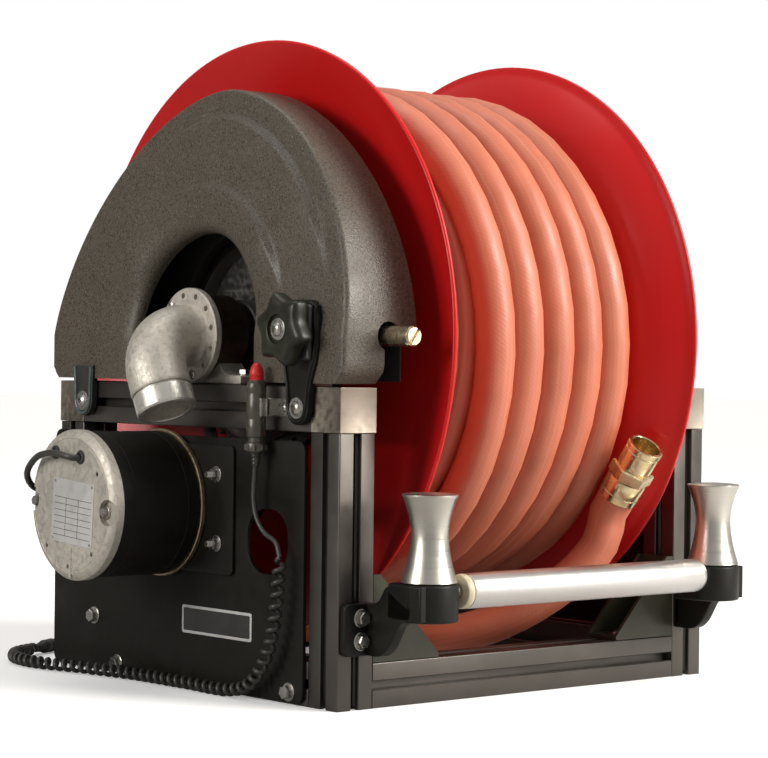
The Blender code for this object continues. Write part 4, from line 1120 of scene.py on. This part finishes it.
def make_straps():
    """The cover's two straps. The front one runs on upwards behind the brake knob."""
    for name, y in (("rear", STRAP_Y), ("front", -STRAP_Y)):
        bottom = arc((y, STRAP_BOLT_Z), 15, 180, 360, 17)
        if name == "rear":
            outline = [*bottom, (y + 15.6, 285), (y + 16, 296), (y - 16, 296), (y - 15.6, 285)]
            half = [(13.6, 295), (13, 285), (12.4, 276), (11.6, 260), (7, 252.4)]
            knots = [*[(y - u, z) for u, z in half], (y, 250), *[(y + u, z) for u, z in reversed(half)]]
        else:
            outline = [
                *bottom, (-152.6, 276), (-150, 290), (-148, 303), (-148, 350), (-152, 357), (-184, 357),
                (-192, 352), (-195.5, 342), (-195.5, 318), (-193, 303), (-187, 288), (-183.6, 274)
            ]
            knots = [
                (-192, 350), (-193, 330), (-192, 312), (-187, 297), (-182, 281), (-180, 264), (-176, 253.6),
                (-168, 250), (-160, 253.6), (-155.8, 264), (-155, 280), (-152, 295), (-150.6, 310),
                (-150.4, 350)
            ]
        # The rear strap's rim is painted with the highlight moulding. The front strap's body and rim are
        # black casting.
        body, rim = ("plastic", "cover_highlight_edge") if name == "rear" else ("arm", "arm")
        slot = "moulded_plastic"
        strap = plate(
            f"cover_strap_{name}", [outline], STRAP_FACE, STRAP_BACK, "X", body, "frame", 1.2, slot=slot
        )
        bake(strap)
        piece(f"strap_rim_{name}", strap_rim(knots), rim, "frame", slot=slot, smooth=60)
    shape = bmesh.new()
    for y in (-STRAP_Y, STRAP_Y):
        place = at(STRAP_FACE, y, STRAP_BOLT_Z)
        bolt(shape, place, -X, 6.6, "button")
        lathe(shape, [(6.4, 0), (9.6, 0), (9.6, 0.9), (9.2, 1.3), (6.4, 1.3)], place, -X, 32, True)
    piece("strap_bolts", shape, "steel", "frame")


# --- Drum and chain drive --------------------------------------------------------------------------


def make_discs():
    """Two flanges: flat from the hub outwards, then a flare that ends in a rolled rim."""
    inner = [(24, 116), (60, 116), (120, 116), (170, 116), (192, 116.05)]
    inner += [(200 + 80 * t, 116.1 + 38 * t**1.7) for t in [i / 16 for i in range(1, 16)]]
    outer = [(r, x + 2.4) for r, x in inner]
    rim_r, rim_x = 278.0, 152.6
    angles = [math.radians(30 * i) for i in range(1, 7)]
    rim = [(rim_r + 2.1 * math.sin(a), rim_x - 2.1 * math.cos(a)) for a in angles]
    for side, name in ((-1, "left"), (1, "right")):
        profile = [*inner, *rim, *reversed(outer)]
        names = (f"drum_disc_{name}",)
        place = at(0, 0, AXIS_Z)
        turned(
            f"drum_flange_{name}", profile, place, side * X, "red", "drum", 160, True, replaces=names,
            smooth=50
        )
    shape = bmesh.new()
    for side in (-1, 1):
        for k in range(6):
            a = math.tau * (k + 0.5) / 6
            bolt(shape, at(side * 118.5, 60 * math.cos(a), AXIS_Z + 60 * math.sin(a)), side * X, 6, "hex")
    piece("flange_bolts", shape, "steel", "drum")
    hub = [
        (BORE, 118.9), (46, 118.9), (46, 122), (44.6, 123.4), (34, 124.6), (31, 127), (30, 150),
        (28.6, 151.4), (BORE, 151.4)
    ]
    turned("hub_right", hub, at(0, 0, AXIS_Z), X, "red", "drum", 64, True)


def toothed(centre, teeth, radius, tip):
    """A chain wheel's outline. Each tooth is a hollow of three points and a flat tip."""
    low, high = radius - 3.6, radius + tip
    points = []
    for k in range(teeth):
        for share, r in ((-0.28, low), (0.0, low - 0.4), (0.28, low), (0.42, high), (0.58, high)):
            a = math.tau * (k + share) / teeth
            points.append((centre[0] + r * math.cos(a), centre[1] + r * math.sin(a)))
    return points


def make_sprocket():
    """The drum's chain wheel: its teeth, a raised ring on its web, and its hub."""
    middle = (0, AXIS_Z)
    wheel = plate_mesh([toothed(middle, 55, 111.2, 3.0), circle(middle, 23, 48)], *WHEEL_FACES, "X", 0.5)
    web = [(84, 149), (84, 157), (87, 162), (99, 156.4), (100, 155), (100, 149)]
    lathe(wheel, web, at(0, *middle), -X, 92, True)
    hub = [
        (BORE, 118.9), (40, 118.9), (40, 143.4), (40, 149.4), (36, 151), (34, 153), (34, 178.6),
        (32.6, 180), (BORE, 180)
    ]
    lathe(wheel, hub, at(0, *middle), -X, 64, True)
    piece("sprocket", wheel, "dark_steel", "drum", replaces=("drum_sprocket",))


def chain_loop():
    """The chain's pitch line round both wheels, as points in (y, z)."""
    top, bottom = Vector((0, AXIS_Z)), Vector(MOTOR)
    down = bottom - top
    big, small = 112.2, 23.5
    heading = math.degrees(math.atan2(down.y, down.x))
    spread = math.degrees(math.acos((big - small) / down.length))
    around = arc(top, big, heading + spread, heading + 360 - spread, 161)
    return around + arc(bottom, small, heading - spread, heading + spread, 41)


def make_chain():
    """A roller chain: rollers one pitch apart, with inner and outer side plates by turns."""
    loop = [Vector(p) for p in chain_loop()]
    loop.append(loop[0])
    lengths = [(b - a).length for a, b in zip(loop, loop[1:])]
    total = sum(lengths)
    count = 2 * round(total / CHAIN_PITCH / 2)
    pins, run, index = [], 0.0, 0
    for k in range(count):
        target = total * k / count
        while run + lengths[index] < target:
            run += lengths[index]
            index += 1
        pins.append(loop[index].lerp(loop[index + 1], (target - run) / lengths[index]))
    shape = bmesh.new()
    for k, pin in enumerate(pins):
        after = pins[(k + 1) % count]
        lathe(shape, [(0, -3.2), (3.9, -3.2), (3.9, 3.2), (0, 3.2)], at(CHAIN_X, pin.x, pin.y), X, 12)
        lathe(shape, [(0, -4.4), (1.9, -4.4), (1.9, 4.4), (0, 4.4)], at(CHAIN_X, pin.x, pin.y), X, 8)
        near, far = (3.3, 3.7) if k % 2 else (3.8, 4.2)
        along = (after - pin).normalized()
        across = Vector((-along.y, along.x))
        outline = []
        for centre, first in ((after, -90), (pin, 90)):
            for i in range(7):
                a = math.radians(first + 30 * i)
                outline.append(centre + (along * math.cos(a) + across * math.sin(a)) * 5.0)
        for side in (-1, 1):
            rows = []
            for depth in (near, far):
                rows.append([shape.verts.new(at(CHAIN_X + side * depth, p.x, p.y)) for p in outline])
            skin(shape, rows)
    piece("roller_chain", shape, "dark_steel", "frame", replaces=("drive_chain",))
    wheel = plate_mesh([toothed(MOTOR, 11, 23.5, 2.0)], *WHEEL_FACES, "X", 0.4)
    hub = [(0, 140.6), (9, 140.6), (9, 143.2), (12, 143.2), (12, 149.4), (9, 151), (9, 167.4), (0, 167.4)]
    lathe(wheel, hub, at(0, *MOTOR), -X, 32)
    piece("pinion", wheel, "dark_steel", "motor_shaft", replaces=("motor_pinion",))


def make_crank():
    """The hand crank's shaft with a slotted end, and the small bevel wheel inside the cover."""
    profile = [(0, 86.3), (8, 86.3), (8.9, 98), (8.9, 260.4), (7.6, 262), (0, 262)]
    place = at(CRANK_X, 0, AXIS_Z)
    shaft = turned("crank_rod", profile, place, -Y, "pale_brass", "crank", 48, replaces=("crank_shaft",))
    slot = bmesh.new()
    made = bmesh.ops.create_cube(slot, size=1)
    bmesh.ops.scale(slot, vec=(0.03, 0.010, 0.0028), verts=made["verts"])
    bmesh.ops.rotate(
        slot, cent=(0, 0, 0), matrix=Matrix.Rotation(math.radians(-52), 3, "Y"), verts=made["verts"]
    )
    bmesh.ops.translate(slot, vec=at(CRANK_X, -262, AXIS_Z), verts=made["verts"])
    cut(shaft, slot)
    soften(shaft, 0.3, 2)
    wheel = [(0, 86), (20, 86), (22, 88), (22, 94), (17, 98), (12, 98), (12, 104), (9, 104), (9, 98), (0, 98)]
    turned("crank_bevel", wheel, place, -Y, "dark_steel", "crank", 44)


# --- Inlet -----------------------------------------------------------------------------------------


def make_inlet():
    """The cast elbow on its drilled flange, and the machined collar that the supply pipe joins."""
    lean = math.radians(26)
    down = Vector((0, -math.sin(lean), -math.cos(lean)))
    base = at(INLET_X, 0, AXIS_Z)
    across = down.cross(X).normalized()
    route = [base - X * 6 * MM, base - X * 9 * MM]
    for i in range(25):
        a = math.radians(90 * i / 24)
        route.append(base - X * (12 + 42 * math.sin(a)) * MM + down * 42 * (1 - math.cos(a)) * MM)
    end = base - X * 54 * MM
    for level in (46, 50, 53, 56, 57.2):
        route.append(end + down * level * MM)
    total = length_of(route)

    def swell(share):
        """The casting's radius: wider next to the flange, with a low band round the open end."""
        left = (1 - share) * total / MM
        if left < 0.8:
            return 27.4 * MM
        if left < 5:
            return 28.3 * MM
        gone = share * total / MM
        return (28 + max(0.0, 3 - gone * 0.5)) * MM

    shape = tube(bmesh.new(), route, swell, 64)
    piece("elbow_casting", shape, "cast", "inlet", replaces=("inlet_elbow",), smooth=50)
    face = [(0, 0), (42.8, 0), (44, 1.2), (44, 6.8), (42.6, 8), (0, 8)]
    flange = turned("elbow_flange", face, base, -X, "cast", "inlet", 96)
    holes, screws = bmesh.new(), bmesh.new()
    for k in range(12):
        a = math.tau * k / 12 + 0.26
        spoke = (across * math.cos(a) + down * math.sin(a)) * 37.4 * MM
        if k in (3, 8):
            bolt(screws, base - X * 8 * MM + spoke, -X, 4.8, "button")
        else:
            lathe(holes, [(0, 0), (2.7, 0), (2.7, 8), (0, 8)], base - X * 4 * MM + spoke, -X, 20)
    cut(flange, holes)
    soften(flange, 0.25, 2, 40)
    piece("flange_screws", screws, "steel", "inlet")
    collar = [
        (22.2, 0), (25.6, 0), (25.6, 1.6), (26.9, 1.6), (27.5, 2.3), (27.5, 18.6), (26.4, 20.2),
        (24.6, 20.8), (22.8, 20.8), (22.2, 20)
    ]
    mouth = end + down * 57.2 * MM
    turned("elbow_collar", collar, mouth, down, "machined", "inlet", 96, True)
    bore = [(0, -14), (22.3, -14), (22.3, 19), (21.9, 19), (21.9, -13), (0, -13)]
    turned("elbow_bore", bore, mouth, down, "cast", "inlet", 64)


# --- Motor -----------------------------------------------------------------------------------------


def make_motor():
    """The motor on its side: a cast end with a rating plate, a black can, and a ring at the mount."""
    y, z = MOTOR
    bell = [
        (0, 12.5), (59.6, 12.5), (60.0, 12.1), (61.0, 12.1), (61.4, 12.5), (62.6, 12.5), (68.2, 9.2),
        (69, 8), (69, 0.8), (68.4, 0.2), (0, 0.2)
    ]
    casting = turned(
        "motor_bell", bell, at(-328.5, y, z), -X, "cast", "frame", 128, replaces=("motor_end_bell",)
    )
    for cy, cz in ((y - 58.2, z - 4), (y + 65, z + 3)):
        recess = [(0, 335.2), (12, 335.2), (12, 350), (0, 350)]
        cut(casting, lathe(bmesh.new(), recess, at(0, cy, cz), -X, 40))
    small = bmesh.new()
    for cy, cz in ((y - 34, z - 43), (y + 39, z - 39), (y + 4, z - 56), (y - 42, z + 30)):
        lathe(small, [(0, 336), (2.1, 336), (2.1, 350), (0, 350)], at(0, cy, cz), -X, 16)
    cut(casting, small)
    soften(casting, 0.5, 2, 40)
    shape = bmesh.new()
    for cy, cz in ((y - 50, z - 3.8), (y + 61.7, z + 1.1)):
        lathe(shape, [(0, 0), (6.6, 0), (6.6, 1.0), (6.2, 1.4), (0, 1.4)], at(-335.2, cy, cz), -X, 32)
        bolt(shape, at(-336.4, cy, cz), -X, 4.6, "hex", 0.3)
    piece("bell_screws", shape, "steel", "frame")
    can = [
        (0, 244.2), (66.2, 244.2), (67, 245), (67, 257), (66.6, 257.4), (66.6, 258.2), (67, 258.6),
        (67, 314), (66.6, 314.4), (66.6, 315.2), (67, 315.6), (67, 327.4), (66.2, 328.2), (0, 328.2)
    ]
    turned("motor_shell", can, at(0, y, z), -X, "black", "frame", 128, replaces=("motor_can",))
    ring = [(0, 238.9), (68.2, 238.9), (69, 239.7), (69, 243.2), (68.4, 243.9), (0, 243.9)]
    turned("motor_ring", ring, at(0, y, z), -X, "gold", "frame", 128, replaces=("motor_flange",))
    make_nameplate()
    shape = block(bmesh.new(), (MOTOR_FACE - 0.9, 31.2, 103), (MOTOR_FACE + 0.4, 34.4, 131))
    soften(piece("bell_rib", shape, "cast", "frame"), 0.5, 2)
    shape = bmesh.new()
    grommet = [
        (0, 340.4), (6.4, 340.4), (6.4, 341.8), (5.6, 342.8), (4.0, 343.2), (3.0, 342.8), (3.0, 341.5),
        (0, 341.5)
    ]
    for gy, gz in ((17.5, 213.8), (58, 217)):
        lathe(shape, grommet, at(0, gy, gz), -X, 32)
    piece("lead_grommets", shape, "plastic", "frame")


def make_nameplate():
    """A blank rating plate with ruled lines and four rivets, set slightly askew."""
    along = (math.cos(math.radians(4)), math.sin(math.radians(4)))
    face = MOTOR_FACE

    def around(points):
        return [(29.5 + a * along[0] - b * along[1], 163 + a * along[1] + b * along[0]) for a, b in points]

    def rule(shape, low, high):
        line = around([low, (high[0], low[1]), high, (low[0], high[1])])
        merge(shape, plate_mesh([line], face - 0.62, face - 0.45, "X", 0.02, 0))

    outline = around(rounded((-33, -29), (33, 29), 2, 4))
    plate("rating_plate", [outline], face - 0.5, face, "X", "plate", "frame", 0.1)
    shape = bmesh.new()
    for b in [12 - 5.8 * k for k in range(7)]:
        rule(shape, (-30, b - 0.22), (30, b + 0.22))
    for a in (-9, 11):
        rule(shape, (a - 0.22, -22.8), (a + 0.22, 12))
    piece("rating_rules", shape, "plastic", "frame", smooth=20)
    shape = bmesh.new()
    for a in (-30, 30):
        for b in (-26, 26):
            cy, cz = around([(a, b)])[0]
            lathe(shape, [(0, 0.7), (1.0, 0.5), (1.5, 0)], at(face - 0.5, cy, cz), -X, 16)
    piece("rating_rivets", shape, "steel", "frame")


def merge(shape, other):
    """Adds one bmesh to another. The other is used up."""
    mesh = bpy.data.meshes.new("part")
    other.to_mesh(mesh)
    other.free()
    shape.from_mesh(mesh)
    bpy.data.meshes.remove(mesh)
    return shape


# --- Controls --------------------------------------------------------------------------------------


def make_knob():
    """The brake's hand knob: six lobes with hollows between them, and a screw through its middle."""
    sides, turn = 144, 0.26
    sections = [(-246.2, -2.4, 0.94), (-248.4, -0.4, 1), (-250, 0, 1), (-257, 0, 1), (-260, -0.7, 1)]
    sections += [(-262, -2.6, 0.95), (-263, -5.4, 0.85)]
    shape = bmesh.new()
    rows = []
    for x, grow, deep in sections:
        row = []
        for k in range(sides):
            a = math.tau * k / sides
            lobe = 1 - math.sqrt((math.sin(3 * a) ** 2 + 0.02) / 1.02)
            r = 25.8 + 8.6 * lobe * deep + grow
            y, z = KNOB[0] + r * math.cos(a + turn), KNOB[1] + r * math.sin(a + turn)
            row.append(shape.verts.new(at(x, y, z)))
        rows.append(row)
    for x, radius in ((-263.4, 14.2), (-263.0, 13.2), (-260.6, 12.8)):
        rows.append(circle_row(shape, at(x, *KNOB), Y, Z, radius * MM, sides, turn))
    skin(shape, rows)
    piece("brake_handwheel", shape, "knob", "knob", replaces=("brake_knob",), smooth=45)
    shape = bmesh.new()
    washer = [(0, 260.6), (9.8, 260.6), (9.8, 261.6), (9.2, 262), (0, 262)]
    lathe(shape, washer, at(0, *KNOB), -X, 40)
    bolt(shape, at(-262, *KNOB), -X, 6.4, "button")
    thread = [(0, 203), (2.6, 203), (4.2, 203.4)]
    level = 204.0
    while level < 238:
        thread += [(4.95, level + 0.5), (4.3, level + 1.1)]
        level += 1.2
    lathe(shape, [*thread, (4.9, 239), (4.9, 246.4), (0, 246.4)], at(0, *KNOB), -X, 28)
    piece("brake_screw", shape, "steel", "knob")


def make_switch():
    """The hand switch: a tube with a cable gland below, and a red boot that folds over the button."""
    place = at(SWITCH_X, SWITCH_Y, 0)
    gland = [(0, 222), (7.4, 222), (8.8, 222.8), (9.3, 224), (9.3, 229), (8.8, 230.2), (7.2, 231)]
    tube_part = [(7.2, 234.8), (8.2, 235.4), (8.8, 236.4), (8.8, 250.6), (8.6, 251), (8.6, 252), (8.8, 252.4)]
    top = [
        (8.8, 273), (8.5, 273.5), (8.5, 274.6), (8.8, 275.1), (8.8, 281.4), (8.2, 283.6), (7.2, 285.2),
        (6.6, 286), (0, 286)
    ]
    shape = lathe(bmesh.new(), [*gland, *tube_part, *top], place, Z, 64)
    for k in range(8):
        a = math.tau * k / 8
        side = Vector((math.cos(a), math.sin(a), 0))
        lathe(shape, [(0, 223.6), (1.6, 223.8), (1.6, 228.8), (0, 229)], place + side * 8.8 * MM, Z, 10)
    body = piece("switch_tube", shape, "tube", "frame", replaces=("switch_body",))
    soften(body, 0.2, 2, 50)
    relief = [(0, 209.6), (2.7, 209.6), (3.7, 211.8), (3.5, 212.4), (3.5, 213.6), (4.2, 215), (3.9, 215.6)]
    relief += [(3.9, 216.8), (4.7, 218), (4.3, 218.6), (4.3, 219.8), (5.2, 220.6), (5.4, 222.4), (0, 222.4)]
    turned("switch_relief", relief, place, Z, "cord", "frame", 32)
    boot = [(0, 290.35), (6.0, 290.35), (6.4, 290.8), (6.5, 291.8), (6.3, 293.2), (5.8, 295), (5.1, 297)]
    boot += [(4.2, 299), (3.1, 300.5), (1.8, 301.2), (0, 301.3)]
    turned("switch_boot", boot, place, Z, "boot", "button", 48, replaces=("switch_button",))
    skirt = [
        (0, 286.02), (6.5, 286.02), (6.6, 286.6), (6.0, 287.4), (6.6, 288.2), (5.9, 289.0), (6.4, 289.8),
        (6.0, 290.3), (0, 290.3)
    ]
    fold = turned("switch_skirt", skirt, place, Z, "boot", "frame", 48)
    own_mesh(fold)


# --- Hose guide ------------------------------------------------------------------------------------


def make_guide():
    """The long roller between two waisted spools, each spool on its own arm."""
    place = at(0, *GUIDE)
    roller = [
        (0, -145.6), (14.4, -145.6), (15.1, -145.2), (15.5, -144.4), (15.5, 145), (15.2, 147.6),
        (14.0, 150), (11.8, 151.6), (8, 152), (0, 152)
    ]
    turned("guide_tube", roller, place, X, "roller", "guide", 96, replaces=("guide_roller",))
    ring = [
        (6.3, 145.8), (13.8, 145.8), (15.0, 146.4), (15.3, 147.6), (15.2, 150.2), (14.2, 152.4),
        (12.4, 153.4), (6.3, 153.4)
    ]
    turned("guide_bushing", ring, place, -X, "bushing", "guide", 64, True)
    for name, side in (("left", -1), ("right", 1)):
        base = at(side * SPOOL[0], SPOOL[1], 114.5)
        waist = []
        for i in range(1, 32):
            height = 1.0 + 74.0 * i / 32
            reach = (height - 42) / (33 if height > 42 else 41)
            waist.append((16.4 + 8.1 * abs(reach) ** 1.8, height))
        profile = [(0, 0), (23.8, 0), (24.5, 0.6), *waist, (24.5, 74.9), (24.4, 75.7), (23.8, 76.1)]
        profile += [(18, 76.8), (10, 77.3), (0, 77.5)]
        turned(
            f"spool_{name}_turned", profile, base, Z, "spool", f"spool_{name}", 96,
            replaces=(f"spool_{name}",), smooth=38
        )
        make_arm(name, side)


def make_arm(name, side):
    """A cast arm: a foot on the post, a web hollowed from below, and a rounded block under the spool."""
    web_near, web_far = 193, 205
    xs = sorted((side * web_near, side * web_far))
    lower = [
        (-225, 48.4), (-236, 48.2), (-246, 50.6), (-254, 57), (-260, 66), (-265, 74.4), (-271, 79.8),
        (-281, 82.6)
    ]
    upper = [
        (-268, 113), (-258, 112.4), (-249.6, 109), (-244.6, 102.4), (-240, 96.8), (-233, 94.2), (-224, 93.8)
    ]

    def flowing(knots):
        return [(p.x, p.y) for p in smooth_route([Vector((u, v, 0)) for u, v in knots], 2.5)]

    web = [(-296, 113), *flowing(upper), (-219, 93.6), (-219, 48.4), *flowing(lower), (-296, 83)]
    shape = plate_mesh([web], xs[0], xs[1], "X", 1.6, 3)
    front = arc((side * SPOOL[0], SPOOL[1]), 25.4, 180, 360, 25)
    xs = sorted((side * 154.5, side * web_far))
    outline = [
        (xs[0], -262), *[(min(max(x, xs[0]), xs[1]), y) for x, y in front], (xs[1], -262), (xs[1], -254),
        (xs[0], -254)
    ]
    merge(shape, plate_mesh([outline], 81, 114, "Z", 2.4, 3))
    feet = sorted((side * web_near, side * 229))
    merge(shape, plate_mesh([rounded((feet[0], 48), (feet[1], 94), 5, 6)], -225.3, -218.3, "Y", 1.2, 2))
    pin = [(0, 0), (5, 0), (5, 52.6), (4.4, 53.2), (0, 53.2)]
    lathe(shape, pin, at(side * SPOOL[0], SPOOL[1], 113), Z, 24)
    piece(f"arm_casting_{name}", shape, "arm", "frame", replaces=(f"roller_arm_{name}",), smooth=40)


dress_nodes()
make_bars()
make_plates()
make_frame_bolts()
make_pillow(-1, "bronze")
make_pillow(1, "cast")
make_cover()
make_straps()
make_discs()
make_sprocket()
make_chain()
make_crank()
make_inlet()
make_motor()
make_knob()
make_switch()
make_guide()
